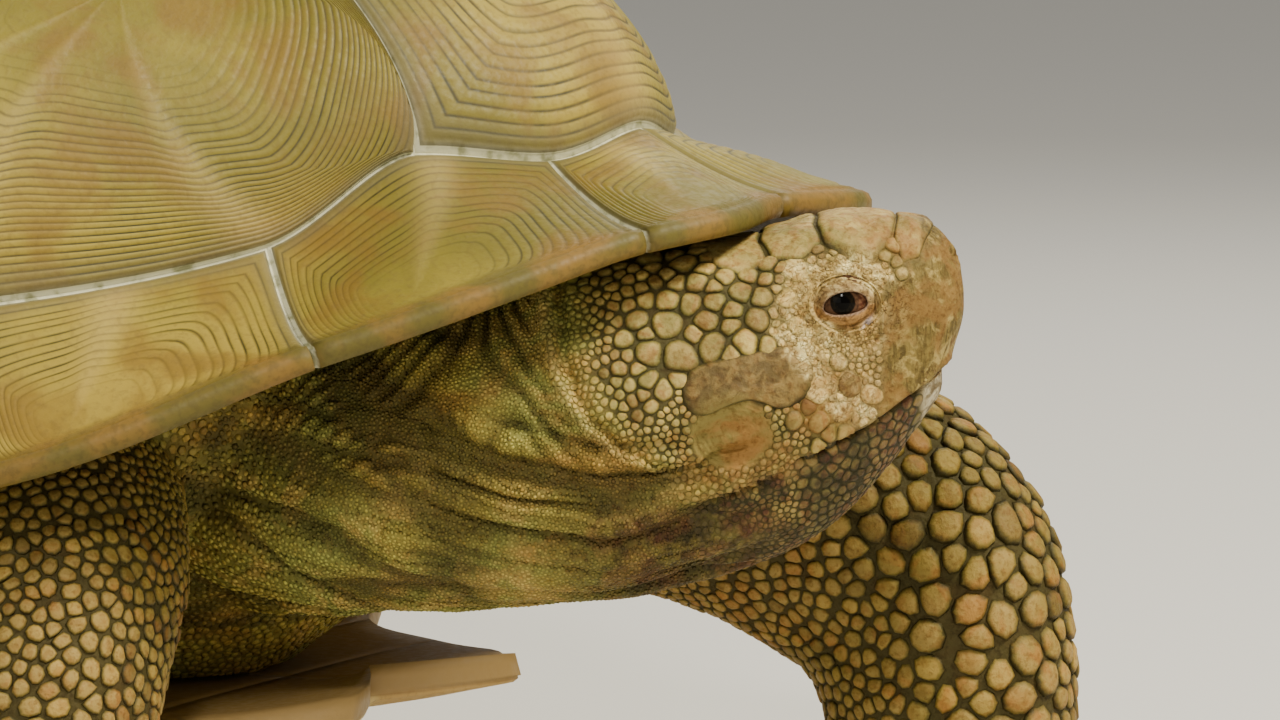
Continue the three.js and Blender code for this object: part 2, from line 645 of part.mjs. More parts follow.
const trunkSpace = trunk(CUT);
const neckSpace = toSolid(headAndNeck(CUT));
const flesh = toSolid(headAndNeck(0));
let head = flesh.subtract(beyondCut(-1)).subtract(mouthSlot());
for (const [name, side] of [['left', 1], ['right', -1]]) {
  const place = headPoint(EYE.forward, side * EYE.out, EYE.z);
  const hollow = new THREE.SphereGeometry(EYE.radius + CUT, 12, 8).rotateX(Math.PI / 2);
  head = head.subtract(toSolid(hollow.translate(place.x, place.y, place.z)));
  const ball = new THREE.SphereGeometry(EYE.radius, 12, 8).rotateX(Math.PI / 2);
  addNode(`eye_${name}`, ball, EYEBALL).position.copy(place);
}
addNode('head', toGeometry(head), HEAD_SKIN);
addNode('neck', toGeometry(flesh.subtract(beyondCut(1)).subtract(trunkSpace)), SKIN);
addNode('trunk', toGeometry(trunk(0)), SKIN);
addNode('tail', toGeometry(tail().subtract(trunkSpace)), SKIN);
for (const [name, limb] of Object.entries(LEGS)) {
  addNode(name, toGeometry(leg(limb).subtract(trunkSpace).subtract(neckSpace)), SKIN);
}

// stand the animal over the origin
const box = new THREE.Box3().setFromObject(animal);
const middle = box.getCenter(new THREE.Vector3());
animal.position.set(-middle.x, -middle.y, -box.min.z);
export default animal;
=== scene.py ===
"""The looks of a life-size sulcata tortoise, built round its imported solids.

Shapes are worked out in millimetres from the middle of the shell, +X to the head, +Y to the animal's
left, +Z up, and written to Blender in metres in the frame. The shell's plates, the skin, the coats
of scales, the eyes and the claws are each made by their own function.
"""
import json
import math

import bpy
import numpy as np
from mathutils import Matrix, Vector
from mathutils.bvhtree import BVHTree
from mathutils.kdtree import KDTree

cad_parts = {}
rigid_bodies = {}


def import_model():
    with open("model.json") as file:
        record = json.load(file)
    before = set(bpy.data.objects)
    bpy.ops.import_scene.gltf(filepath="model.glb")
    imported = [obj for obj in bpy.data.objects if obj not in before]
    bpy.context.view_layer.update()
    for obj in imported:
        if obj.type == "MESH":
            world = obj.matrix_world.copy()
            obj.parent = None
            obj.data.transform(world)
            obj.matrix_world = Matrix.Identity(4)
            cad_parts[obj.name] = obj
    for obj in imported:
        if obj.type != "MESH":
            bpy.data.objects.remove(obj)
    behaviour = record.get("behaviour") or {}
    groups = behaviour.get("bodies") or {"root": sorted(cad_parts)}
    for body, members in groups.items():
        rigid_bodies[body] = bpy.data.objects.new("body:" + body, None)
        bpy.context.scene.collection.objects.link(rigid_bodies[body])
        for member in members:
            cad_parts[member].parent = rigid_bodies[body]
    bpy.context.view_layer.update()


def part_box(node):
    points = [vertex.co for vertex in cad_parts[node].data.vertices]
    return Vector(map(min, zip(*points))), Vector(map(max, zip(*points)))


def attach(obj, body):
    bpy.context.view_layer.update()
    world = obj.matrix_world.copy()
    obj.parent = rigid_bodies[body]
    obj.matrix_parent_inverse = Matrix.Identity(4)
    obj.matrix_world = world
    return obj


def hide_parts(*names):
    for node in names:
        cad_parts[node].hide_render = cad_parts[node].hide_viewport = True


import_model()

# ---- where things are ------------------------------------------------------------------------
MM = 0.001
UP = np.array([0.0, 0.0, 1.0])
HEAD_TURN = math.radians(28)
HEAD_FORWARD = np.array([math.cos(HEAD_TURN), math.sin(HEAD_TURN), 0.0])
HEAD_LEFT = np.array([-HEAD_FORWARD[1], HEAD_FORWARD[0], 0.0])
HEAD_MIDDLE = np.array([357.0, -4.0, 0.0])         # between the eyes, in plan
EYE = {"forward": 0.0, "z": 206.0, "out": 26.5}


def head_point(forward, left, z):
    """The place of measures taken on the head, which are numbers or arrays of one shape."""
    forward, left, z = (np.asarray(measure, float)[..., None] for measure in (forward, left, z))
    return HEAD_MIDDLE + forward * HEAD_FORWARD + left * HEAD_LEFT + z * UP


def box_middle(node):
    low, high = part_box(node)
    return np.array((low + high) / 2) / MM


# the shell's middle in the frame: where the left eye's solid is, less where it is on the animal
SHIFT = box_middle("eye_left") - head_point(EYE["forward"], EYE["out"], EYE["z"])


# ---- helpers ---------------------------------------------------------------------------------
def along(table, place):
    """A smooth curve through [place, value] pairs, level at both ends and never overshooting."""
    x, y = np.array(table, float).T
    place = np.clip(np.asarray(place, float), x[0], x[-1])
    width = np.diff(x)
    slope = np.diff(y) / width
    tangent = np.zeros(len(x))
    before, after = slope[:-1], slope[1:]
    same = before * after > 0
    tangent[1:-1][same] = 2 * before[same] * after[same] / (before + after)[same]
    i = np.clip(np.searchsorted(x, place, side="right") - 1, 0, len(width) - 1)
    t = (place - x[i]) / width[i]
    return ((2 * t**3 - 3 * t**2 + 1) * y[i] + (t**3 - 2 * t**2 + t) * width[i] * tangent[i]
            + (3 * t**2 - 2 * t**3) * y[i + 1] + (t**3 - t**2) * width[i] * tangent[i + 1])


def unit(v):
    return v / np.maximum(np.linalg.norm(v, axis=-1, keepdims=True), 1e-9)


def smoothstep(x, low, high):
    """0 at low and 1 at high, level at both."""
    t = np.clip((x - low) / (high - low), 0, 1)
    return t * t * (3 - 2 * t)


def bell(x, width):
    """1 where x is 0, and near 0 from twice the width away."""
    return np.exp(-((x / width) ** 2))


def lerp(a, b, t):
    return a + (b - a) * t


def ring_angles(count):
    return np.arange(count) * 2 * math.pi / count


def boxy(angle, power):
    """Cosine and sine round an ellipse that is boxier the higher its power."""
    return tuple(np.sign(x) * np.abs(x) ** (2 / power) for x in (np.cos(angle), np.sin(angle)))


HASH = (374761393, 668265263, 2147483647, 1274126177)


def lattice(ix, iy, iz):
    """A steady random number in -1..1 for each whole-number place."""
    n = ix * HASH[0] + iy * HASH[1] + iz * HASH[2]
    n = (n ^ (n >> 13)) * HASH[3]
    return ((n ^ (n >> 16)) & 0xFFFFF) / 0x7FFFF - 1


def noise(p, size, seed=0):
    """Smooth noise in -1..1 at points p, with features about size across."""
    q = p / size + 1000.0 + 17.3 * seed
    cell = np.floor(q).astype(np.int64)
    f = q - cell
    f = f * f * (3 - 2 * f)
    total = np.zeros(len(p))
    for corner in np.ndindex(2, 2, 2):
        share = np.where(corner, f, 1 - f)
        total += share[:, 0] * share[:, 1] * share[:, 2] * lattice(*(cell + corner).T)
    return total


def set_values(mesh, values):
    """Named numbers on a mesh's points, for its material."""
    for key, column in values.items():
        mesh.attributes.new(key, "FLOAT", "POINT").data.foreach_set("value", np.asarray(column, np.float32))


def make_piece(name, points, faces, material, replaced=(), values=None, bake=None):
    """A mesh piece from points in millimetres on the animal, riding on the one body.

    values are numbers on its points, bake their places on the OFBake map.
    """
    mesh = bpy.data.meshes.new(name)
    if isinstance(faces, np.ndarray):
        corners, totals = faces.ravel(), np.full(len(faces), faces.shape[1])
    else:
        corners = np.array([v for face in faces for v in face])
        totals = np.array([len(face) for face in faces])
    mesh.vertices.add(len(points))
    mesh.vertices.foreach_set("co", ((points + SHIFT) * MM).astype(np.float32).ravel())
    mesh.loops.add(len(corners))
    mesh.loops.foreach_set("vertex_index", corners.astype(np.int32))
    mesh.polygons.add(len(totals))
    mesh.polygons.foreach_set("loop_start", np.concatenate([[0], np.cumsum(totals)[:-1]]).astype(np.int32))
    mesh.polygons.foreach_set("loop_total", totals.astype(np.int32))
    mesh.polygons.foreach_set("use_smooth", np.ones(len(totals), bool))
    mesh.update(calc_edges=True)
    set_values(mesh, values or {})
    if bake is not None:
        mesh.uv_layers.new(name="OFBake").data.foreach_set("uv", bake[corners].astype(np.float32).ravel())
    mesh.materials.append(material)
    piece = bpy.data.objects.new(name, mesh)
    bpy.context.scene.collection.objects.link(piece)
    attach(piece, "root")
    if replaced:
        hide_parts(*replaced)
    return piece


def tube(starts, count, turned=False):
    """Quads between rings of count points that begin at starts; turned ones face the other way."""
    i = np.arange(count)
    j = (i + 1) % count
    faces = []
    for a, b in zip(starts[:-1], starts[1:]):
        corners = (a + i, b + i, b + j, a + j) if turned else (a + i, a + j, b + j, b + i)
        faces += zip(*(corner.tolist() for corner in corners))
    return faces


def fan(start, count, hub, turned=False):
    """Triangles from a ring's points to a hub; turned ones face the other way."""
    i = np.arange(count)
    ends = [(start + i).tolist(), (start + (i + 1) % count).tolist()]
    return list(zip(*(ends[::-1] if turned else ends), [hub] * count))


def flipped(faces):
    return [face[::-1] for face in faces]


def facing(faces, points, hub, way):
    """The faces, turned over if those between the hub and points 0 and 1 don't look along way."""
    looks = np.cross(points[0] - points[hub], points[1] - points[hub])
    return flipped(faces) if np.dot(looks, way) < 0 else faces


def closed_tube(rings):
    """Points and faces of rings of places, closed over their two ends."""
    rows, count = rings.shape[:2]
    ends = [rings[0].mean(0)[None], rings[-1].mean(0)[None]]
    return np.concatenate([rings.reshape(-1, 3), *ends]), closed_faces(rows, count)


def closed_faces(rows, count):
    return (tube([row * count for row in range(rows)], count)
            + fan(0, count, rows * count, turned=True) + fan((rows - 1) * count, count, rows * count + 1))


def joined(parts):
    """Several meshes' points and faces as one's."""
    points, faces, start = [], [], 0
    for place, own in parts:
        points.append(place)
        faces += [tuple(v + start for v in face) for face in own]
        start += len(place)
    return np.concatenate(points), faces


# ---- the shell's surface, as in the solids ---------------------------------------------------
SEAM_GAP = 2.0
CROWN_Z = 374.0
RIM_HALF_LENGTH = 345.0
NUCHAL_NOTCH = {"depth": 12.0, "width": 8.0}
SEAM_FRONT_X, SEAM_REAR_X = 284.0, 300.0
PLATE = 7.0
BODY_OVAL = {"length": 300, "width": 245, "height": 235, "z": 150}     # its normals run through the plates
RIM_THICKNESS = 8.0
PLATE_BULGE = 4.0
SEAM_HALF_WIDTH = [[0, 165], [30, 168], [42, 184], [62, 222], [90, 247], [180, 240]]
SEAM_Z = [[0, 256], [15, 248], [29, 252], [41, 223], [60, 207], [90, 196], [130, 200], [180, 220]]
RIM_HALF_WIDTH = [[0, 224], [20, 225], [45, 238], [75, 256], [105, 266], [180, 260]]
RIM_Z = [[0, 236], [12, 234], [20, 230], [28, 221], [42, 199], [62, 160], [80, 147], [110, 144],
         [140, 156], [165, 162], [180, 146]]
DOME_POWER = [[0, 0.6], [45, 0.58], [90, 0.53], [135, 0.58], [180, 0.66]]
FLARE_POWER = [[0, 1.5], [42, 2.0], [75, 1.0], [110, 1.0], [145, 1.7], [180, 1.1]]
SEAM_STOPS = [0, 15, 40.5, 60, 75, 90, 105, 119, 132, 145, 157, 168]
RIM_STOPS = [0, 19.7, 42.3, 60, 76, 90, 104, 118, 131, 144, 156, 168]
SCALLOP = [2, 3, 3, 0, 0, 0, 2, 5, 8, 8, 6]
VERTEBRAL_X = [165, 45, -75, -185]
VERTEBRAL_HALF = [61, 62, 58, 46]
CORNER_HALF = [86, 92, 80]
FIRST_CORNER, LAST_CORNER = 29, 160
SIDE_STOPS = [FIRST_CORNER, 83, 110, 137, LAST_CORNER]


def folded(angle):
    """Size and side of an angle, which may pass 180 over the tail."""
    turned = np.where(angle > 180, angle - 360, angle)
    return np.abs(turned), np.where(turned < 0, -1.0, 1.0)


def seam_point(angle):
    size, side = folded(np.asarray(angle, float))
    a = np.radians(size)
    x = np.where(size < 90, SEAM_FRONT_X, SEAM_REAR_X) * np.cos(a)
    y = side * along(SEAM_HALF_WIDTH, size) * np.sin(a)
    return np.stack([x, y, along(SEAM_Z, size)], -1)


def scallop(size):
    stops = np.array(RIM_STOPS, float)
    i = np.clip(np.searchsorted(stops, size, side="right") - 1, 0, len(stops) - 1)
    inside = i < len(SCALLOP)
    j = np.where(inside, i, 0)
    t = np.clip((size - stops[j]) / (stops[j + 1] - stops[j]), 0, 1)
    return np.where(inside, np.array(SCALLOP, float)[j] * np.sin(np.pi * t**1.6), 0)


def rim_point(angle):
    size, side = folded(np.asarray(angle, float))
    notch = NUCHAL_NOTCH["depth"] * bell(size, NUCHAL_NOTCH["width"])
    out = 1 + scallop(size) / RIM_HALF_LENGTH
    a = np.radians(size)
    x = RIM_HALF_LENGTH * np.cos(a) * out - notch
    y = side * along(RIM_HALF_WIDTH, size) * np.sin(a) * out
    return np.stack([x, y, along(RIM_Z, size)], -1)


SEAM_DENSE = np.linspace(0, 180, 721)
SEAM_CURVE = seam_point(SEAM_DENSE)
SEAM_BEARING = np.arctan2(SEAM_CURVE[:, 1], SEAM_CURVE[:, 0])


def dome_point(xy):
    """The dome's outer surface over places in plan."""
    bearing = np.arctan2(np.abs(xy[..., 1]), xy[..., 0])
    angle = np.interp(bearing, SEAM_BEARING, SEAM_DENSE)
    edge = seam_point(angle)
    share = np.minimum(np.hypot(xy[..., 0], xy[..., 1]) / np.hypot(edge[..., 0], edge[..., 1]), 1)
    base = along(SEAM_Z, angle)
    z = base + (CROWN_Z - base) * (1 - share**2) ** along(DOME_POWER, angle)
    return np.concatenate([xy, z[..., None]], -1)


def outward(p):
    """The way through the shell's thickness: the normal of an ellipsoid round the body."""
    return unit(np.stack([p[..., 0] / BODY_OVAL["length"]**2, p[..., 1] / BODY_OVAL["width"]**2,
                          (p[..., 2] - BODY_OVAL["z"]) / BODY_OVAL["height"]**2], -1))


def band_point(seam_angle, rim_angle, out):
    """A place on the rim's band, from the seam over it, out 0, to its edge, out 1."""
    inner, outer = seam_point(seam_angle), rim_point(rim_angle)
    p = lerp(inner, outer, out[..., None])
    size, _ = folded(rim_angle)
    p[..., 2] = lerp(inner[..., 2], outer[..., 2], 1 - (1 - out) ** along(FLARE_POWER, size))
    return p


def band_outward(seam_angle, rim_angle, out):
    """The way out of the band: its own normal, which the dome's takes over towards the seam."""
    near = np.minimum(out, 0.99)
    here = outward(band_point(seam_angle, rim_angle, near))
    down = band_point(seam_angle, rim_angle, near + 0.01) - band_point(seam_angle, rim_angle, near)
    beside = band_point(seam_angle, rim_angle + 0.5, near) - band_point(seam_angle, rim_angle - 0.5, near)
    own = unit(np.cross(down, beside))
    own = np.where(np.sum(own * here, -1, keepdims=True) < 0, -own, own)
    blend = np.minimum(1, out * 1.6)[..., None]
    return unit(outward(band_point(seam_angle, rim_angle, out)) * (1 - blend) + own * blend)


# ---- material tools --------------------------------------------------------------------------
def new_material(name):
    material = bpy.data.materials.new(name)
    material.use_nodes = True
    tree = material.node_tree
    tree.nodes.clear()
    out = tree.nodes.new("ShaderNodeOutputMaterial")
    shader = tree.nodes.new("ShaderNodeBsdfPrincipled")
    tree.links.new(shader.outputs["BSDF"], out.inputs["Surface"])
    return material, Graph(tree, shader)


class Graph:
    """Short words for the nodes that the materials use. A colour is three numbers in linear light."""

    def __init__(self, tree, shader):
        self.tree = tree
        self.shader = shader
        self.place = self.node("ShaderNodeTexCoord").outputs["Object"]

    def node(self, kind, **settings):
        made = self.tree.nodes.new(kind)
        for key, value in settings.items():
            setattr(made, key, value)
        return made

    def feed(self, made, **inputs):
        """Links or numbers for a node's inputs, whose names have _ for a space."""
        for key, value in inputs.items():
            socket = made.inputs[key.replace("_", " ")]
            if isinstance(value, bpy.types.NodeSocket):
                self.tree.links.new(value, socket)
            elif isinstance(value, tuple) and len(value) == 3 and len(socket.default_value) == 4:
                socket.default_value = (*value, 1.0)
            else:
                socket.default_value = value
        return made

    def noise(self, size, detail=3.0, rough=0.55, stretch=(1, 1, 1), distortion=0.0):
        """Noise in 0..1 whose features are about size metres across."""
        at = self.feed(self.node("ShaderNodeMapping"), Vector=self.place, Scale=stretch).outputs["Vector"]
        return self.feed(self.node("ShaderNodeTexNoise"), Vector=at, Scale=1 / size, Detail=detail,
                         Roughness=rough, Distortion=distortion).outputs["Fac"]

    def value(self, name):
        return self.node("ShaderNodeAttribute", attribute_name=name).outputs["Fac"]

    def maths(self, operation, a, b=0.0):
        made = self.node("ShaderNodeMath", operation=operation)
        for socket, value in zip(made.inputs, (a, b)):
            if isinstance(value, bpy.types.NodeSocket):
                self.tree.links.new(value, socket)
            else:
                socket.default_value = value
        return made.outputs[0]

    def times(self, a, b):
        return self.maths("MULTIPLY", a, b)

    def span(self, value, low, high, to_low=0.0, to_high=1.0):
        """A value taken smoothly from low..high to to_low..to_high."""
        return self.feed(self.node("ShaderNodeMapRange", interpolation_type="SMOOTHSTEP"), Value=value,
                         From_Min=low, From_Max=high, To_Min=to_low, To_Max=to_high).outputs["Result"]

    def mix(self, share, a, b, blend="MIX"):
        return self.feed(self.node("ShaderNodeMix", data_type="RGBA", blend_type=blend), Factor=share,
                         A=a, B=b).outputs["Result"]

    def pair(self, value, low, high, first, last):
        """A colour from first to last, on the screen's scale, as a value goes from low to high."""
        return self.mix(self.span(value, low, high), srgb(*first), srgb(*last))

    def tint(self, colour, share, amount, over):
        """A colour under another on the screen's scale, which a share times an amount lets show."""
        return self.mix(self.times(share, amount), colour, srgb(*over))

    def bump(self, height, distance, strength, before=None):
        under = {} if before is None else {"Normal": before}
        return self.feed(self.node("ShaderNodeBump"), Height=height, Distance=distance, Strength=strength,
                         **under).outputs["Normal"]

    def set(self, colour, rough, specular=None, **more):
        if specular is not None:
            more["Specular_IOR_Level"] = specular
        self.feed(self.shader, Base_Color=colour, Roughness=rough, **more)


def srgb(red, green, blue):
    """A colour given as 0..255 screen values, in linear light."""
    return tuple(((c / 255 + 0.055) / 1.055) ** 2.4 if c > 10 else c / 255 / 12.92 for c in (red, green, blue))


def horn_material():
    """Plates of the carapace: olive-gold growth ridges, darker grooves, and pale seams between plates."""
    material, g = new_material("horn")
    ring, age = g.value("ring"), g.value("age")
    broad = g.noise(0.10, detail=4)
    blotch = g.noise(0.03, detail=5, distortion=0.4)
    fine = g.noise(0.0022, detail=4)
    ridge = g.pair(broad, 0.36, 0.64, (102, 92, 28), (140, 124, 42))
    ridge = g.mix(g.span(g.noise(0.22, detail=2), 0.44, 0.6, 0.0, 0.7), ridge, srgb(158, 132, 54))
    ridge = g.tint(ridge, g.span(blotch, 0.46, 0.66), 0.7, (112, 84, 30))
    groove = g.pair(blotch, 0.4, 0.6, (44, 42, 14), (70, 56, 20))
    faded = g.mix(g.span(blotch, 0.4, 0.66, 0.0, 0.35), groove, ridge)
    colour = g.mix(g.span(ring, 0.12, 0.82), faded, ridge)
    colour = g.tint(colour, g.value("ridge"), 0.3, (200, 172, 108))
    colour = g.tint(colour, g.span(fine, 0.48, 0.7), 0.25, (88, 70, 36))
    # the newest horn is greyer, and the worn lip of the rim browner
    colour = g.tint(colour, g.span(age, 0.9, 0.99), 0.5, (92, 86, 62))
    seam = g.pair(g.noise(0.006), 0.3, 0.52, (150, 148, 112), (204, 200, 168))
    colour = g.mix(g.span(age, 0.985, 1.03), colour, seam)
    worn = g.pair(blotch, 0.4, 0.62, (86, 76, 24), (118, 88, 32))
    worn = g.tint(worn, g.span(fine, 0.44, 0.66), 0.4, (70, 58, 24))
    colour = g.mix(g.times(g.span(g.value("edge"), 0.2, 1.0), 0.9), colour, worn)
    # painted shade: the plates' underside inside the shell is dark brown, so the gap under the rim looks
    # shadowed
    colour = g.mix(g.span(age, 1.22, 1.3), colour, srgb(62, 50, 28))
    g.set(colour, g.span(fine, 0.3, 0.7, 0.48, 0.66), 0.25, Normal=g.bump(fine, 0.0004, 0.5))
    return material


def plastron_material():
    """Plates of the floor: straw horn with brown growth lines."""
    material, g = new_material("plastron")
    blotch = g.noise(0.05, detail=5, distortion=0.4)
    fine = g.noise(0.003, detail=4)
    ridge = g.pair(blotch, 0.4, 0.62, (214, 188, 124), (188, 152, 86))
    colour = g.mix(g.span(g.value("ring"), 0.1, 0.7), srgb(140, 106, 56), ridge)
    colour = g.tint(colour, g.span(fine, 0.5, 0.7), 0.3, (130, 102, 60))
    colour = g.mix(g.span(g.value("age"), 1.0, 1.05), colour, srgb(158, 128, 76))
    g.set(colour, g.span(fine, 0.3, 0.7, 0.45, 0.65), 0.4, Normal=g.bump(fine, 0.0004, 0.5))
    return material


HORN = horn_material()
PLASTRON = plastron_material()


# ---- plates ----------------------------------------------------------------------------------
SEAM_DEPTH = 1.0                # how deep the pale channel between two plates lies
BORDER_ROLL = 1.0               # how far a plate's border rolls down to that channel
LIP = 3.0                       # how far the rim's rounded edge stands out
TOUCH = 0.03                    # space left between the pale borders of two plates
# plates that the camera sees get rings with more rows and points: millimetres a point, rows a ring
FINE_PLATES = ("vertebral_1", "pleural_right_1", "marginal_right_1", "marginal_right_2", "marginal_right_3",
               "marginal_right_4", "marginal_left_1", "marginal_left_2")
FINE, COARSE = (3.6, 5), (7.5, 3)
FIRST_RING = 2                  # the rings inside this one are the smooth areola
# the wall below the border: [depth under it, share of the thickness, age that colours it]
WALL = [(SEAM_DEPTH + BORDER_ROLL, 0, 1.1), (SEAM_DEPTH + BORDER_ROLL + 1, 0, 1.2), (0, 0.6, 1.2), (0, 1, 1.2)]
SEAM_AGE, LIP_AGE, UNDER_AGE = 1.06, 0.97, 1.3


def ring_starts(count, seed):
    """Shares of the way out where growth rings start: uneven, and narrower with age."""
    widths = np.linspace(1.35, 0.75, count) * (1 + 0.22 * np.random.default_rng(seed).uniform(-1, 1, count))
    return np.concatenate([[0], np.cumsum(widths)]) / widths.sum()


def growth_plate(name, surface, depth, areola, seed, pitch=4.6, relief=0.5, lip=False, ridges=(),
                 material=HORN, bulge=PLATE_BULGE):
    """A plate with growth rings round its areola, as a closed mesh that replaces its solid.

    surface(u, v) gives places on the shell and the way out there, depth(v) the thickness. A ring is
    the plate's outline shrunk towards the areola. Each ridge is (u, v, width): a place on the border
    from which a low ridge runs to the areola, where the rings bend. A plate with a lip ends, at v 1,
    in the rim's rounded edge.
    """
    step, per_ring = FINE if name in FINE_PLATES else COARSE
    draws = np.random.default_rng(seed)

    def gap(a, b):
        ends, _ = surface(np.array([a[0], b[0]], float), np.array([a[1], b[1]], float))
        return float(np.linalg.norm(ends[0] - ends[1]))

    length_u, length_v = gap((0, 0.5), (1, 0.5)), gap((0.5, 0), (0.5, 1))
    across, down = (np.arange(count) / count
                    for count in (max(6, int(length_u / step)), max(6, int(length_v / step))))
    border = np.concatenate([
        np.stack([across, 0 * across], 1), np.stack([0 * down + 1, down], 1),
        np.stack([1 - across, 0 * across + 1], 1), np.stack([0 * down, 1 - down], 1)])
    count = len(border)
    centre = np.array(areola, float)
    longest = max(gap(areola, corner) for corner in ((0, 0), (1, 0), (1, 1), (0, 1)))
    rings = max(7, int(longest / pitch * 0.85))
    stops = ring_starts(rings, seed)
    rows = [(k, row / per_ring) for k in range(FIRST_RING, rings) for row in range(per_ring)]
    share = np.array([stops[k] + (stops[k + 1] - stops[k]) * phase for k, phase in rows] + [1.0])[:, None]
    phase = np.array([phase for _, phase in rows] + [0.0])[:, None]
    order = np.array([k for k, _ in rows] + [rings - 1])

    # rings round off at the corners towards the areola, and bend out where a ridge crosses them
    corner = np.abs(2 * border - 1).min(1) ** 3
    pull = 1 - 0.2 * corner * (1 - share) ** 0.7
    on_ridge = np.zeros(count)
    for u, v, width in ridges:
        away = np.hypot((border[:, 0] - u) * length_u, (border[:, 1] - v) * length_v)
        on_ridge = np.maximum(on_ridge, bell(away, width))
    pull = pull * (1 + 0.035 * on_ridge * smoothstep(share, 0.2, 0.6) * (1 - share) * 4)
    uv = centre + (share * pull)[..., None] * (border - centre)
    inset_u, inset_v = SEAM_GAP / 2 / length_u, SEAM_GAP / 2 / length_v

    def inside(places, gap_share=1.0):
        """Places, their way out and their v, kept a share of the gap inside the plate's limits."""
        u = gap_share * inset_u + (1 - 2 * gap_share * inset_u) * places[..., 0]
        v = gap_share * inset_v + (1 - (1 if lip else 2) * gap_share * inset_v) * places[..., 1]
        return surface(u, v) + (v,)

    base, way, _ = inside(uv)
    places = base.reshape(-1, 3)
    waver = noise(places, 30, seed).reshape(share.shape[0], count)
    patch = noise(places, 70, seed + 3).reshape(waver.shape)
    crest = 1 - np.abs(2 * ((phase + 0.1 * waver) % 1) - 1) ** 2.6
    strength = draws.uniform(0.65, 1.25, rings)[order][:, None] * (0.85 + 0.4 * patch)
    worn = smoothstep(share, 0.15, 0.6)
    rise = bulge * np.sin(np.pi * uv[..., 0]) * np.sin(np.pi * uv[..., 1])
    rim = (border[:, 1] > 0.999) * 1.0 if lip else np.zeros(count)
    near_border = smoothstep(share, 1 - 2.4 / longest, 1.0) * (1 - rim)
    height = rise + relief * strength * crest * worn + 1.6 * on_ridge * share * (1 - share**6)
    height = height * (1 - 0.7 * smoothstep(uv[..., 1], 0.94, 1.0) * lip) - BORDER_ROLL * near_border
    points = [(base + way * height[..., None]).reshape(-1, 3)]
    contrast = min(1.0, 0.25 + 1.6 * relief)
    shown = {"ring": [0.8 + contrast * (crest * (0.3 + 0.7 * worn) - 0.1 - 0.7 * worn).ravel()],
             "age": [np.broadcast_to(share, crest.shape).ravel()],
             "edge": [np.broadcast_to(smoothstep(uv[..., 1], 0.8, 1.0) * lip, crest.shape).ravel()],
             "ridge": [(on_ridge * share).ravel()]}

    def add_row(place, age, edge=0.0, ring=0.5):
        points.append(place)
        for key, number in (("ring", ring), ("age", age), ("edge", edge), ("ridge", 0.0)):
            shown[key].append(number + np.zeros(len(place)))

    hub_place, hub_way, _ = inside(centre[None])
    add_row(hub_place + hub_way * height[0].mean(), 0.0, ring=0.7)
    # the wall: into the pale channel and out to the neighbour, or round the rim's lip
    thick = depth(border[:, 1])[:, None]
    full, full_way, _ = inside(border, TOUCH / SEAM_GAP * 2)
    away = unit(base[-1] - inside(np.minimum(border, [1, 0.97]))[0])
    wall = [(base[-1] - way[-1] * (SEAM_DEPTH + BORDER_ROLL), SEAM_AGE)]
    wall += [(full - full_way * (drop + thick * part), age) for drop, part, age in WALL]
    for k, (place, age) in enumerate(wall):
        turn = math.pi * (k + 1) / len(wall)
        nose = base[-1] - way[-1] * thick / 2 * (1 - math.cos(turn)) + away * LIP * math.sin(turn)
        if k == len(wall) - 1:
            nose = base[-1] - way[-1] * thick
        add_row(np.where(rim[:, None] > 0, nose, place), np.where(rim > 0, LIP_AGE, age), rim)
    # the underside
    for shrink in (0.8, 0.45):
        place, place_way, v = inside(centre + shrink * (border - centre))
        add_row(place - place_way * depth(v)[:, None], UNDER_AGE, 0.5)
    add_row(hub_place - hub_way * float(depth(centre[1])), UNDER_AGE, 0.5)

    hub = len(share) * count
    starts = [k * count for k in range(len(share))] + [hub + 1 + k * count for k in range(len(wall) + 2)]
    points = np.concatenate(points)
    faces = tube(starts, count, turned=True) + fan(0, count, hub)
    faces += fan(starts[-1], count, len(points) - 1, turned=True)
    return make_piece("plate_" + name, points, facing(faces, points, hub, hub_way[0]), material, [name],
                      {key: np.concatenate(column) for key, column in shown.items()})


def seam_plan(angle):
    return seam_point(angle)[..., :2]


def on_dome(plan):
    """A plate's surface over its plan on the dome."""
    def surface(u, v):
        place = dome_point(plan(u, v))
        return place, outward(place)
    return surface


def even(thickness):
    return lambda v: np.full(np.shape(v), float(thickness))


def vertebral_plan(number):
    """A plate of the back in plan: u runs across it and v rearwards."""
    front, rear = number - 2, number - 1

    def cross(i, u):
        return np.stack([np.full(np.shape(u), float(VERTEBRAL_X[i])), (2 * u - 1) * VERTEBRAL_HALF[i]], -1)

    def plan(u, v):
        if number == 1:
            return lerp(seam_plan((2 * u - 1) * FIRST_CORNER), cross(0, u), v[..., None] ** 1.3)
        if number == 5:
            seam = np.where(u < 0.5, -lerp(LAST_CORNER, 180, 2 * u), lerp(180, LAST_CORNER, 2 * u - 1))
            return lerp(cross(3, u), seam_plan(seam), (1 - (1 - v) ** 1.3)[..., None])
        half = np.where(v < 0.5, lerp(VERTEBRAL_HALF[front], CORNER_HALF[front], 2 * v),
                        lerp(CORNER_HALF[front], VERTEBRAL_HALF[rear], 2 * v - 1))
        return np.stack([lerp(VERTEBRAL_X[front], VERTEBRAL_X[rear], v), (2 * u - 1) * half], -1)
    return plan


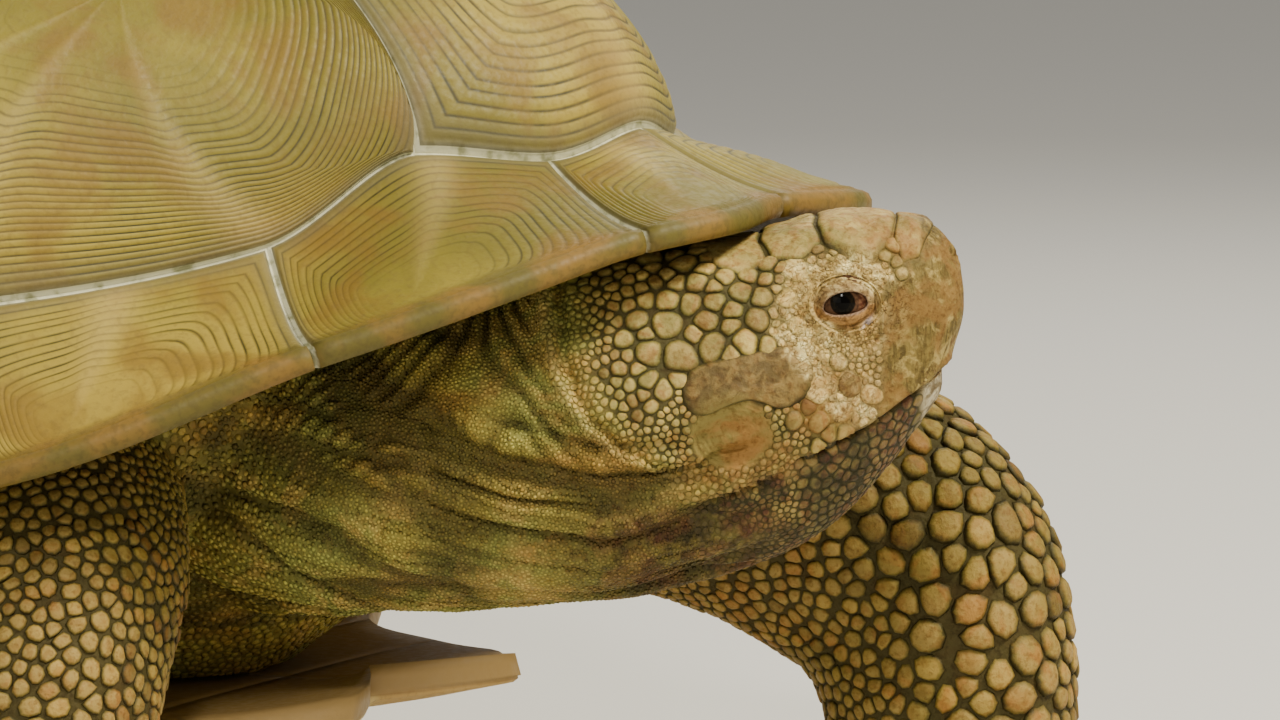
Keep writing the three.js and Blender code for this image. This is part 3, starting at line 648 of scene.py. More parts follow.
def pleural_plan(number, side):
    """A plate of the side in plan: u runs rearwards and v from the seam up to the back's plates."""
    def corner(i):
        if i in (0, 4):
            return seam_plan(side * float(FIRST_CORNER if i == 0 else LAST_CORNER))
        return np.array([(VERTEBRAL_X[i - 1] + VERTEBRAL_X[i]) / 2, side * CORNER_HALF[i - 1]], float)

    middle = np.array([VERTEBRAL_X[number - 1], side * VERTEBRAL_HALF[number - 1]], float)

    def plan(u, v):
        low = seam_plan(side * lerp(SIDE_STOPS[number - 1], SIDE_STOPS[number], u))
        t = u[..., None]
        high = np.where(t < 0.5, lerp(corner(number - 1), middle, 2 * t),
                        lerp(middle, corner(number), 2 * t - 1))
        return lerp(low, high, v[..., None] ** 1.5)
    return plan


def on_band(side, seam_stops, rim_stops):
    """A band plate's surface between two stops: u runs along the rim and v out to its edge."""
    def surface(u, v):
        angles = [lerp(side * stops[0], side * stops[1], u) for stops in (seam_stops, rim_stops)]
        return band_point(*angles, v), band_outward(*angles, v)
    return surface


def band_depth(v):
    return lerp(PLATE + 1, RIM_THICKNESS, v)


SIDES = (("left", 1.0), ("right", -1.0))


def build_carapace():
    for number in range(1, 6):
        growth_plate(f"vertebral_{number}", on_dome(vertebral_plan(number)), even(PLATE), (0.5, 0.55),
                     20 + number, pitch=5.0, relief=0.45,
                     ridges=[(0.5, 0.0, 12), (0.5, 1.0, 12)][:2 if number < 5 else 1])
    for side_name, side in SIDES:
        for number in range(1, 5):
            low, high = SIDE_STOPS[number - 1:number + 1]
            # a ridge rises from each corner of the band below
            ridges = [((stop - low) / (high - low), 0.0, 9) for stop in SEAM_STOPS
                      if low + 4 < stop < high - 4]
            growth_plate(f"pleural_{side_name}_{number}", on_dome(pleural_plan(number, side)), even(PLATE),
                         (0.52, 0.68), 40 + number + (side < 0) * 10, pitch=5.0, ridges=ridges)
        for i in range(11):
            growth_plate(f"marginal_{side_name}_{i + 1}",
                         on_band(side, SEAM_STOPS[i:i + 2], RIM_STOPS[i:i + 2]),
                         band_depth, (0.72, 0.86), 60 + i + (side < 0) * 20, relief=0.36, lip=True,
                         ridges=[(0.5, 0.0, 10)])
    over_tail = (SEAM_STOPS[-1], 360 - SEAM_STOPS[-1])
    growth_plate("supracaudal", on_band(1.0, over_tail, over_tail), band_depth, (0.5, 0.6), 99, pitch=5.2,
                 relief=0.35, lip=True)


FLOOR_Z, FLOOR_THICKNESS, BRIDGE_TOP = 57.0, 11.0, 131.0
BRIDGE = {"inner": 140.0, "outer": 247.0}
FLOOR_PLATES = [("gular", 208, 150), ("humeral", 150, 104), ("pectoral", 104, 62), ("abdominal", 62, -84),
                ("femoral", -84, -190), ("anal", -190, -292)]
FLOOR_HALF_WIDTH = [[-292, 66], [-262, 86], [-190, 102], [-146, 106], [-124, 128], [-106, 192], [-88, 240],
                    [-60, 248], [50, 248], [70, 234], [84, 196], [98, 148], [120, 122], [150, 106], [185, 84],
                    [208, 58]]
GULAR_FORK, ANAL_FORK, GULAR_LIFT = 26.0, 34.0, 6.0


def on_floor(front, rear, side):
    """The plastron's underside; u runs rearwards and v outwards, up the bridge at the sides."""
    is_gular, is_anal = front == FLOOR_PLATES[0][1], rear == FLOOR_PLATES[-1][2]

    def surface(u, v):
        x = lerp(front, rear, u)
        y = v * along(FLOOR_HALF_WIDTH, x)
        fork = (-GULAR_FORK * (1 - u) ** 2 if is_gular else 0) + (ANAL_FORK * u * u if is_anal else 0)
        lift = (BRIDGE_TOP - FLOOR_Z) * smoothstep(y, BRIDGE["inner"], BRIDGE["outer"])
        lift = lift + (GULAR_LIFT * (1 - u) ** 2 if is_gular else 0)
        place = np.stack([x + fork * (1 - v) ** 1.5, side * y, FLOOR_Z + lift], -1)
        way = unit(np.stack([0 * v, side * 0.5 * v * v, -1 + 0 * v], -1))
        return place, way
    return surface


def build_plastron():
    for side_name, side in SIDES:
        for k, (name, front, rear) in enumerate(FLOOR_PLATES):
            growth_plate(f"{name}_{side_name}", on_floor(front, rear, side), even(FLOOR_THICKNESS),
                         (0.55, 0.35), 120 + k + (side < 0) * 10, pitch=8.0, relief=0.3,
                         material=PLASTRON, bulge=1.5)


build_carapace()
build_plastron()


# ---- flesh: rings along a spine --------------------------------------------------------------
COAT_DEPTH = 1.0                # the skin lies this far inside the solids, under its scales
# [forward of the eyes, top, bottom, half width, boxiness]
HEAD_SECTIONS = [
    [37.5, 209, 194, 6, 2.2], [36.5, 215, 188, 11, 2.4], [33, 222.5, 175, 16, 2.6], [27, 228, 166, 20.5, 2.6],
    [19, 230, 156, 25, 2.7], [10, 230, 146, 29, 2.7], [0, 230, 136, 32.5, 2.6], [-10, 228.5, 128, 36, 2.5],
    [-22, 225, 122, 39.5, 2.4], [-34, 221, 117.5, 42, 2.3], [-47, 217, 114, 43, 2.2],
]
# [middle x, middle y, top, bottom, half width] from the nape to inside the trunk
NECK_SECTIONS = [
    [300, -36, 213.5, 110, 43.5], [280, -43, 210.5, 107, 45], [258, -48, 207, 104, 47],
    [232, -49, 204, 101, 49.5],
    [205, -45, 202, 98, 52], [175, -35, 201, 96, 55], [145, -21, 202, 96, 58], [110, -5, 203, 98, 60],
]
SOCKET = {"depth": 4.5, "reach": 11}
CHEEK = {"forward": -31, "z": 171, "proud": 3, "reach": 15}
BROW = {"forward": -2, "z": 219, "proud": 2.2, "reach": 8}
THROAT_TAPER = {"below": 172, "reach": 60, "share": 0.24}
MOUTH_LINE = [[-13, 157], [-2, 162], [6, 165.5], [18, 173.5], [32, 182], [42, 186.5]]
JAW_HOLLOW = {"forward": -12, "z": 147, "depth": 3, "reach": 14}
HEAD_END = -47.0


def spline(rows, at):
    """Smooth values of every column at places along the first one."""
    rows = np.array(rows, float)
    if rows[0, 0] > rows[-1, 0]:
        rows = rows[::-1]
    return np.stack([along(rows[:, [0, k]], at) for k in range(1, rows.shape[1])], -1)


def head_stations():
    """Rings from the beak back into the trunk: way along, middle, bearing, half sizes, boxiness."""
    rows = []
    way = 0.0
    for forward, top, bottom, half, power in HEAD_SECTIONS:
        way = HEAD_SECTIONS[0][0] - forward
        middle = head_point(forward, 0, (top + bottom) / 2)
        rows.append([way, *middle, HEAD_TURN, half, (top - bottom) / 2, power])
    spine = [np.array(rows[-1][1:3])] + [np.array(row[:2], float) for row in NECK_SECTIONS]
    for i, (x, y, top, bottom, half) in enumerate(NECK_SECTIONS):
        way += float(np.linalg.norm(spine[i + 1] - spine[i]))
        heading = spine[i] - spine[min(i + 2, len(spine) - 1)]
        rows.append([way, x, y, (top + bottom) / 2, math.atan2(heading[1], heading[0]), half,
                     (top - bottom) / 2, 2.1])
    return rows


def near(forward, z, spot):
    return np.exp(-((forward - spot["forward"]) ** 2 + (z - spot["z"]) ** 2) / spot["reach"] ** 2)


def off_oval(forward, z, oval):
    """Distance from an oval's middle on the head's side, 1 at its border."""
    return np.hypot((forward - oval["forward"]) / oval["wide"], (z - oval["z"]) / oval["tall"])


def head_place(p):
    """Forward, left and height of points, as measured on the head."""
    local = p - HEAD_MIDDLE
    return local @ HEAD_FORWARD, local @ HEAD_LEFT, p[..., 2]


def carve_head(p):
    forward, left, z = head_place(p)
    push = (BROW["proud"] * near(forward, z, BROW) + CHEEK["proud"] * near(forward, z, CHEEK)
            - JAW_HOLLOW["depth"] * near(forward, z, JAW_HOLLOW)
            - SOCKET["depth"] * near(forward, z, {**EYE, **SOCKET}))
    low = np.maximum(0, THROAT_TAPER["below"] - z) / THROAT_TAPER["reach"]
    taper = left * THROAT_TAPER["share"] * low * smoothstep(forward, -75, -30)
    move = np.sign(left) * push * np.minimum(1, np.abs(left) / 12) - taper
    return p + HEAD_LEFT * move[..., None]


def mouth_height(forward):
    """Height of the line between the jaws, which runs on level behind the corner."""
    return along(MOUTH_LINE, forward)


def ring_points(station, angle):
    """Points at angles round rings. Angle 90 degrees is the top and 0 the left side."""
    bearing, half, tall, power = (station[..., k] for k in range(3, 7))
    wide, high = boxy(angle, power)
    across = np.stack([-np.sin(bearing), np.cos(bearing), np.zeros_like(bearing)], -1)
    return station[..., :3] + across * (half * wide)[..., None] + UP * (tall * high)[..., None]


# columns down one side of the head: how many there are between the heights that they follow
COLUMNS = {"crown": 24, "eye": 28, "face": 14, "lips": 14, "throat": 32}
EYE_BAND = (11.0, -10.5)        # the eye's columns lie between these heights over its middle
LIP_BAND = 3.2                  # and the lips' within this of the line between the jaws
LEAST_SHARE = 0.05              # of the way round that any group of columns takes
OUTLINE_POINTS = 361


def head_columns(way, stations):
    """Angles round each ring for columns that follow the eye's level and the mouth's line."""
    forward = HEAD_SECTIONS[0][0] - way
    dense = np.linspace(math.pi / 2, -math.pi / 2, OUTLINE_POINTS)
    counts = np.cumsum([0] + list(COLUMNS.values()))
    total = counts[-1]
    result = np.zeros((len(way), total + 1))
    behind = smoothstep(-forward, -HEAD_END - 10, -HEAD_END + 60)
    for row in range(len(way)):
        ring = ring_points(np.broadcast_to(stations[row], (OUTLINE_POINTS, 7)), dense)
        length = np.concatenate([[0], np.cumsum(np.linalg.norm(np.diff(ring, axis=0), axis=1))])
        line = float(mouth_height(np.array(forward[row])))
        stops = [EYE["z"] + EYE_BAND[0], EYE["z"] + EYE_BAND[1], line + LIP_BAND, line - LIP_BAND]
        marks = np.array([0.0] + [np.interp(-z, -ring[:, 2], length / length[-1]) for z in stops] + [1.0])
        for k in range(1, 5):
            marks[k] = max(marks[k], marks[k - 1] + LEAST_SHARE)
        for k in range(4, 0, -1):
            marks[k] = min(marks[k], marks[k + 1] - LEAST_SHARE)
        marks = marks * (1 - behind[row]) + counts / total * behind[row]
        fractions = np.interp(np.arange(total + 1), counts, marks)
        result[row] = np.interp(fractions * length[-1], length, dense)
    return result


def head_grid():
    """Rows by columns of points over the head and neck, the left side's first, and the rows' stations."""
    stations = head_stations()
    eye = HEAD_SECTIONS[0][0]
    way = np.concatenate([np.linspace(0, 4, 7)[:-1], np.arange(4, eye - 13, 1.0),
                          np.arange(eye - 13, eye + 13, 0.75),
                          np.arange(eye + 13, eye + 70, 1.15), np.linspace(eye + 70, stations[-1][0], 150)])
    station = spline(stations, way)
    station[:, 4:6] -= COAT_DEPTH
    left_side = head_columns(way, station)
    angle = np.concatenate([left_side, math.pi - left_side[:, -2:0:-1]], 1)
    return ring_points(station[:, None, :], angle), station


# ---- the face --------------------------------------------------------------------------------
BALL = {"out": 23.4, "radius": 9.6, "z": 205.7}
LIDS = {"forward": 0.8, "z": 205.2, "wide": 10.4, "tall": 8.1, "radius": 10.9}
EAR = {"forward": -34.4, "z": 165.5, "wide": 13.0, "tall": 11.4}
ORBIT = {"forward": 1, "z": 205, "wide": 19, "tall": 15}
LOOSE_CHEEK = {"forward": 7, "z": 186, "wide": 13, "tall": 11}
NOSTRIL = {"forward": 34.0, "left": 6.0, "z": 217.5, "radius": 2.2}
# the fold that runs down behind the head: [height, forward]
NAPE_FOLD = [[120, -40], [151, -50], [158.5, -66], [170.4, -79.9], [182.2, -86.8], [200, -90.3], [215, -91.5]]


def beak_share(p):
    """1 on the upper jaw's smooth horn, which ends in a worn, uneven edge before the eye."""
    forward, _, z = head_place(p)
    uneven = 2.4 * noise(p, 7, 33) + 1.2 * noise(p, 2.5, 34)
    horn = np.minimum(z - 209 - (forward - 12) * 0.5, 3 * (25.5 - forward))
    return smoothstep(forward + uneven, 9.5, 14.5) * (1 - smoothstep(horn + uneven, -0.5, 3.5)) \
        * (z - mouth_height(forward) > -0.5)


def crumpled(forward, z):
    """1 where the face's skin is loose: round the eye and in a band down behind the mouth."""
    band = np.abs(forward + 9 - 0.75 * (188 - z)) / 7
    loose = np.maximum(1 - smoothstep(off_oval(forward, z, ORBIT), 0.85, 1.15),
                       0.9 - 0.9 * smoothstep(off_oval(forward, z, LOOSE_CHEEK), 0.8, 1.1))
    return np.maximum(loose, (1 - smoothstep(band, 0.7, 1.2)) * smoothstep(z, 162, 172)
                      * (1 - smoothstep(z, 196, 204)))


def shape_face(p):
    """Fine forms of the head: jaws, ear, orbit, nostrils, folds. Moves points along their normals."""
    forward, left, z = head_place(p)
    side = np.sign(left)
    push = np.zeros(len(p))
    # the jaws: the upper one overhangs, the lower one is set in
    ahead = smoothstep(forward, -16, -9)
    above = z - mouth_height(forward)
    groove = bell(above, 0.75)
    push += ahead * (-3.4 * groove + 0.7 * bell(above - 2.2, 1.6))
    push -= (ahead * 1.3 * smoothstep(-above, 0.4, 1.2) * (1 - smoothstep(-above, 9, 22))
             * smoothstep(forward, -10, 12))
    # the ear: a shallow round hollow with a low rim
    ear = off_oval(forward, z, EAR)
    flank = smoothstep(np.abs(left), 12, 24)
    push += flank * (-1.3 * (1 - smoothstep(ear, 0.55, 0.98)) + 0.5 * bell(ear - 1.08, 0.1))
    crease = np.sin(2 * math.pi * 6.5 * ear)
    low_back = smoothstep(-(z - EAR["z"]) - 0.5 * (forward - EAR["forward"]), -2, 8)
    push += flank * 0.28 * crease * smoothstep(ear, 0.75, 1.0) * (1 - smoothstep(ear, 1.45, 1.9)) * low_back
    # the orbit's outer hollow in front of and behind the lids
    around = off_oval(forward, z, LIDS)
    push += flank * 1.9 * bell(around - 1.2, 0.3)
    # the edge where the beak's horn begins, from the brow down to the jaw
    push += 0.3 * beak_share(p) * (above > 0)
    push += 0.22 * noise(np.stack([left / 1.6, forward / 1.6, z / 9], -1), 1.0, 19) * beak_share(p)
    # the nape fills the gap under the shell's front edge
    push += 4.5 * smoothstep(-forward, 26, 44) * (1 - smoothstep(-forward, 88, 112)) * smoothstep(z, 196, 211)
    # nostrils
    for way in (1, -1):
        spot = np.hypot(np.hypot(left - way * NOSTRIL["left"], z - NOSTRIL["z"]),
                        (forward - NOSTRIL["forward"]) * 0.6)
        push += -3.2 * bell(spot, NOSTRIL["radius"]) + 0.5 * bell(spot - 3.4, 1.1)
    # the crumpled skin round the orbit and down behind the mouth
    bearing = np.arctan2(z - LIDS["z"], forward - LIDS["forward"])
    round_eye = noise(np.stack([around * 6.2, bearing * 2.2, side], -1), 1.0, 39)
    push += flank * crumpled(forward, z) * (0.45 * noise(p, 3.4, 37) + 0.4 * np.abs(noise(p, 2.1, 38))
                                            + 0.5 * round_eye - 0.6 * bell(round_eye, 0.16))
    # the fold behind the head, with a groove ahead of it
    to_fold = forward - along(NAPE_FOLD, z)
    push += smoothstep(z, 146, 164) * (2.6 * bell(to_fold + 1.6, 2.2)
                                       - 2.0 * bell(to_fold - 2.6, 1.9))
    return push


SPINE_WAY = np.linspace(0, head_stations()[-1][0], 120)
SPINE = spline(head_stations(), SPINE_WAY)
SPINE_COURSE = unit(np.gradient(SPINE[:, :3], axis=0))


def neck_place(p):
    """Way behind the beak, distance up round the side from its middle, and gap to the neck's spine."""
    nearest = np.full(len(p), 1e9)
    at = np.zeros(len(p), int)
    for k, row in enumerate(SPINE):
        gap = np.linalg.norm(p - row[:3], axis=1)
        closer = gap < nearest
        nearest[closer] = gap[closer]
        at[closer] = k
    row = SPINE[at]
    across = np.abs((p[:, 1] - row[:, 1]) * np.cos(row[:, 3]) - (p[:, 0] - row[:, 0]) * np.sin(row[:, 3]))
    up = np.arctan2(p[:, 2] - row[:, 2], across)
    beyond = np.sum((p - row[:, :3]) * SPINE_COURSE[at], -1)
    way = SPINE_WAY[at] + np.clip(beyond, -SPINE_WAY[1], SPINE_WAY[1])
    return way, up * np.sqrt(row[:, 4] * row[:, 5]), nearest


RIB_TOP, RIB_PITCH = 42.0, 6.2   # the neck's ribs start at this height up its side, this far apart
PLEAT_LEAN = [[125, -0.5], [150, 0.45], [170, 0.85], [200, 0.6], [235, 0.3]]
# how deep each kind of crease is in the skin, in the order of neck_creases
CREASE_DEPTH = (4.2, 0.9, 2.2, 2.2)
CREASE_PAINTED_SHADE = (1, 0.4, 0.65, 1)    # and how much painted shade each puts in it


def neck_creases(p):
    """Depth of the long creases, the fine ones, the upright pleats and the slack folds, each 0 to 1."""
    forward, _, z = head_place(p)
    way, up, _ = neck_place(p)
    wander = 4.0 * noise(p, 45, 5) + 1.2 * noise(p, 14, 6)
    rise = up - 0.34 * np.maximum(-forward - 75, 0) + wander
    low = smoothstep(-up + 0.25 * np.maximum(-forward - 60, 0), -12, 12) * smoothstep(-forward, 14, 34)
    lean = along(PLEAT_LEAN, way)
    rib = way - lean * (RIB_TOP - up) + 0.35 * wander + 0.5 * noise(p, 9, 12)
    under_rim = smoothstep(along(NAPE_FOLD, z) - forward, 4, 11) * smoothstep(up, -14, 8)

    def crease(x, y, seed, width):
        return bell(noise(np.stack([x, y, np.zeros(len(p))], -1), 1.0, seed), width)

    return (low * crease(way / 80, rise / 8.5, 11, 0.2),
            (0.35 + 0.65 * low) * crease(way / 34, rise / 3.4, 14, 0.24)
            * smoothstep(-forward, 24, 50) * (1 - under_rim),
            under_rim * (0.5 + 0.5 * np.cos(2 * math.pi * rib / RIB_PITCH)) ** 1.4,
            smoothstep(-forward, 95, 130) * crease((way - 0.5 * up + wander) / 17, up / 70, 13, 0.16))


def neck_wrinkles(p):
    """Creases over the neck and throat."""
    return 1.2 - sum(depth * crease for depth, crease in zip(CREASE_DEPTH, neck_creases(p)))


BEAK_DRAW, BEAK_TIP = 2.6, 0.4


def grid_normals(grid):
    down = np.gradient(grid, axis=0)
    padded = np.concatenate([grid[:, -1:], grid, grid[:, :1]], 1)
    across = (padded[:, 2:] - padded[:, :-2]) / 2
    return unit(np.cross(across, down))


def build_head_and_neck():
    """Points and faces of the head and neck."""
    grid, station = head_grid()
    grid = carve_head(grid)
    normal = grid_normals(grid)
    normal = normal * np.sign(np.sum(normal * (grid - station[:, None, 0:3]), -1).mean())
    flat = grid.reshape(-1, 3)
    push = shape_face(flat) + neck_wrinkles(flat) + 0.35 * noise(flat, 9, 3) + 0.5 * noise(flat, 24, 4)
    moved = flat + normal.reshape(-1, 3) * push[:, None]
    # the beak draws in towards its cutting edge
    forward, _, z = head_place(moved)
    draw = BEAK_DRAW * smoothstep(forward, 26, 36) * smoothstep(202 - z, 0, 16) \
        * smoothstep(z - mouth_height(forward), -9, -1)
    moved = moved - HEAD_FORWARD * draw[:, None]
    # the pit that holds the ball behind the lids
    forward, left, z = head_place(moved)
    out = np.abs(left)
    pit = (1 - smoothstep(off_oval(forward, z, LIDS), 0.86, 1.03)) * (out > 8)
    moved = moved + HEAD_LEFT * (np.sign(left) * (np.minimum(BALL["out"] - 4, out) - out) * pit)[:, None]
    rings = moved.reshape(grid.shape)
    front, back = rings[0].mean(0) + HEAD_FORWARD * BEAK_TIP, rings[-1].mean(0)
    return np.concatenate([moved, front[None], back[None]]), closed_faces(*grid.shape[:2])


# ---- trunk, legs and tail --------------------------------------------------------------------
# each section: middle x, y, z, half size fore and aft, half size across; the last are level
LEGS = {
    "foreleg_left": {"claws": 5, "toe_turn": -8, "sections": [
        [165, 84, 142, 50, 42], [215, 104, 140, 51, 43], [262, 120, 130, 51, 44], [300, 131, 112, 52, 43],
        [321, 136, 88, 50, 40], [328, 138, 62, 46, 38], [330, 139, 36, 43, 38], [331, 139, 13, 46, 42],
        [331, 139, 0, 45, 41]]},
    "foreleg_right": {"claws": 5, "toe_turn": 8, "sections": [
        [112, -88, 142, 50, 42], [130, -116, 136, 50, 43], [144, -142, 120, 50, 44], [151, -160, 98, 49, 43],
        [152, -170, 76, 47, 40], [149, -174, 54, 44, 38], [147, -175, 32, 43, 38], [146, -175, 12, 46, 42],
        [146, -175, 0, 45, 41]]},
    "hindleg_left": {"claws": 4, "toe_turn": 6, "sections": [
        [-180, 92, 152, 56, 44], [-196, 122, 144, 56, 45], [-210, 146, 124, 54, 44], [-224, 161, 96, 48, 42],
        [-234, 167, 66, 42, 40], [-240, 169, 36, 40, 39], [-242, 170, 12, 43, 42], [-242, 170, 0, 42, 41]]},
    "hindleg_right": {"claws": 4, "toe_turn": -6, "sections": [
        [-166, -92, 152, 56, 44], [-166, -122, 144, 56, 45], [-166, -147, 124, 54, 44], [-168, -163, 96, 49, 42],
        [-175, -169, 66, 43, 40], [-181, -171, 36, 40, 39], [-184, -172, 12, 43, 42], [-184, -172, 0, 42, 41]]},
}
TAIL_SECTIONS = [[-225, 142, 40], [-262, 130, 38], [-290, 114, 32], [-310, 95, 24], [-321, 77, 15],
                 [-326, 62, 6]]
TAIL_LEAN = (18, 72)            # how far its rings lean back, in degrees, at its root and its tip
VOXEL = 4.2
ROOF_Z = 240.0                  # the trunk's skin is closed off at this height inside the shell
FREE = 1000.0                   # a height that doesn't limit a section
# the trunk's rings: [share of the seam's outline, height over the seam, most height]
TRUNK_SECTIONS = [[0.3, FREE, ROOF_Z], [0.8, FREE, ROOF_Z - 4], [0.9, -10, ROOF_Z - 14], [0.915, -20, FREE],
                  [0.85, FREE, 160], [0.775, FREE, 131], [0.5, FREE, 70]]
# the toes' rings: how far out over the foot, and their radius
TOE_SECTIONS = [[14, 9], [30, 11], [38, 10.4], [44, 8.6]]
TOE_Z, TOE_TALL = 10.8, 10.2    # the toes' middles, and their most half height
TOE_FAN = 100                   # the angle, in degrees, that a foot's toes take
SOLE_TOP, SOLE_Z = 2.2, 0.15    # skin lower than the first is part of a sole, which lies at the second
FOOT_EXTRA = 0.6                # the legs' skin lies this much deeper than the coat needs


def leg_frames(sections):
    """Spine, its two cross axes and half sizes along a leg, in fine steps."""
    rows = np.array(sections, float)
    way = np.concatenate([[0], np.cumsum(np.linalg.norm(np.diff(rows[:, :3], axis=0), axis=1))])
    at = np.linspace(0, way[-1], 60)
    smooth = spline(np.concatenate([way[:, None], rows], 1), at)
    down = unit(np.gradient(smooth[:, :3], axis=0))
    level = smoothstep(at, way[-4] - 20, way[-3])[:, None]
    down = unit(down * (1 - level) + np.array([0, 0, -1.0]) * level)
    side = unit(np.array([0, 1.0, 0]) - down * down[:, 1:2])
    front = -np.cross(side, down)
    return at, smooth, front, side


def leg_rings(sections, sides=44, power=2.3):
    _, smooth, front, side = leg_frames(sections)
    fore, wide = boxy(np.linspace(0, 2 * math.pi, sides, endpoint=False), power)
    fore, wide = ((smooth[:, k] - COAT_DEPTH - FOOT_EXTRA)[:, None] * share
                  for k, share in ((3, fore), (4, wide)))
    return smooth[:, None, :3] + front[:, None] * fore[..., None] + side[:, None] * wide[..., None]


def toe_ways(plan):
    """Level directions out along each toe and across it."""
    for k in range(plan["claws"]):
        turn = math.radians(plan["toe_turn"] - TOE_FAN / 2 + TOE_FAN * k / (plan["claws"] - 1))
        away = np.array([math.cos(turn), math.sin(turn), 0.0])
        yield away, np.array([-away[1], away[0], 0.0])


def toe_rings(foot, away, across):
    """A short blunt toe over a claw's root."""
    angle = np.linspace(0, 2 * math.pi, 20, endpoint=False)
    return np.array([
        np.array([foot[0], foot[1], TOE_Z]) + away * out + np.cos(angle)[:, None] * across * radius
        + np.sin(angle)[:, None] * UP * min(radius, TOE_TALL) for out, radius in TOE_SECTIONS])


def tail_rings():
    rows = np.array(TAIL_SECTIONS, float)
    at = np.linspace(0, 1, 30)
    x, z, half = spline(np.concatenate([np.linspace(0, 1, len(rows))[:, None], rows], 1), at).T
    lean = np.radians(lerp(*TAIL_LEAN, at))
    angle = np.linspace(0, 2 * math.pi, 28, endpoint=False)
    upward = np.stack([-np.sin(lean), 0 * lean, np.cos(lean)], -1)
    size = (half - COAT_DEPTH)[:, None, None]
    return (np.stack([x, 0 * x, z], -1)[:, None] + np.cos(angle)[None, :, None] * size * np.array([0, 1.0, 0])
            + np.sin(angle)[None, :, None] * (0.85 * size) * upward[:, None])


def trunk_rings():
    """The body between the shell's roof and floor."""
    edge = seam_point(np.linspace(-180, 180, 90, endpoint=False))
    return np.array([np.stack([edge[:, 0] * share, edge[:, 1] * share, np.minimum(edge[:, 2] + over, most)], -1)
                     for share, over, most in TRUNK_SECTIONS])


def mesh_object(name, points, faces):
    mesh = bpy.data.meshes.new(name)
    mesh.from_pydata(((points + SHIFT) * MM).tolist(), [], faces)
    made = bpy.data.objects.new(name, mesh)
    bpy.context.scene.collection.objects.link(made)
    return made


def applied(target):
    """The object's mesh with its modifiers applied, which are then taken off."""
    graph = bpy.context.evaluated_depsgraph_get()
    mesh = bpy.data.meshes.new_from_object(target.evaluated_get(graph))
    target.modifiers.clear()
    old = target.data
    target.data = mesh
    bpy.data.meshes.remove(old)
    return mesh


def read_vectors(mesh, key):
    flat = np.zeros(len(mesh.vertices) * 3, np.float32)
    mesh.vertices.foreach_get(key, flat)
    return flat.reshape(-1, 3).astype(float)


def mesh_points(mesh):
    return read_vectors(mesh, "co") / MM - SHIFT


def build_skin():
    """One closed skin: the body grown together from its rings, then joined to the head and neck."""
    parts = [closed_tube(trunk_rings()), closed_tube(tail_rings())]
    for plan in LEGS.values():
        parts.append(closed_tube(leg_rings(plan["sections"])))
        parts += [closed_tube(toe_rings(plan["sections"][-1], *ways)) for ways in toe_ways(plan)]
    # a stub of neck, a little slimmer than the fine one, so that the two flow into each other
    station = spline(head_stations(), np.linspace(150, SPINE_WAY[-1], 30))
    station[:, 4:6] -= COAT_DEPTH + 1.2
    angle = np.linspace(0, 2 * math.pi, 60, endpoint=False)
    parts.append(closed_tube(ring_points(station[:, None, :], np.broadcast_to(-angle, (30, 60)))))
    body = mesh_object("body", *joined(parts))
    remesh = body.modifiers.new("grow", "REMESH")
    remesh.mode = "VOXEL"
    remesh.voxel_size = VOXEL * MM
    smooth = body.modifiers.new("soften", "SMOOTH")
    smooth.factor = 0.6
    smooth.iterations = 5
    applied(body)
    points, normal = mesh_points(body.data), read_vectors(body.data, "normal")
    push = 1.3 * noise(points, 34, 21) + 0.7 * noise(points, 15, 22)
    legs = smoothstep(150 - points[:, 2], 0, 60)
    creases = noise(points / np.array([1.0, 1.0, 0.35]), 26, 23)
    push -= 1.6 * bell(creases, 0.1) * (1 - 0.6 * legs)
    points = points + normal * (push * smoothstep(points[:, 2], 2, 22))[:, None]
    # the soles lie flat on the floor
    points[:, 2] = np.where(points[:, 2] < SOLE_TOP, SOLE_Z, points[:, 2])
    body.data.vertices.foreach_set("co", ((points + SHIFT) * MM).astype(np.float32).ravel())
    skin = mesh_object("skin", *build_head_and_neck())
    join = skin.modifiers.new("join", "BOOLEAN")
    join.operation = "UNION"
    join.object = body
    join.solver = "MANIFOLD"
    applied(skin)
    bpy.data.objects.remove(body)
    return skin


# ---- places on the legs ----------------------------------------------------------------------
def leg_table():
    """Samples down every leg: place, the way to its front, its side, leg number and height share."""
    rows = []
    for k, plan in enumerate(LEGS.values()):
        at, smooth, front, side = leg_frames(plan["sections"])
        share = (at / at[-1])[:, None]
        rows.append(np.concatenate([smooth[:, :3], front, side, np.full(share.shape, k), share], 1))
    return np.concatenate(rows)


LEG_TABLE = leg_table()


def leg_place(p):
    """For each point: distance to the nearest leg's middle, how far it faces front, number, share
    of the way down, and that middle's row in the table."""
    far = np.linalg.norm(p[:, None] - LEG_TABLE[None, :, :3], axis=2)
    best = far.argmin(1)
    row = LEG_TABLE[best]
    return far.min(1), np.sum(unit(p - row[:, :3]) * row[:, 3:6], 1), row[:, 9], row[:, 10], best


BEAN = [(-49.3, 182.2), (-46.5, 186.3), (-41, 188.2), (-34.5, 189.4), (-27.5, 191.0), (-20.6, 192.8),
        (-14.2, 192.0),
        (-10.2, 188.0), (-9.2, 182.5), (-11.5, 177.2), (-16.0, 174.0), (-20.6, 173.3), (-24.5, 175.6),
        (-29.5, 176.8), (-35.0, 175.4), (-40.0, 172.7), (-44.0, 171.4), (-47.6, 173.0), (-49.7, 177.5)]


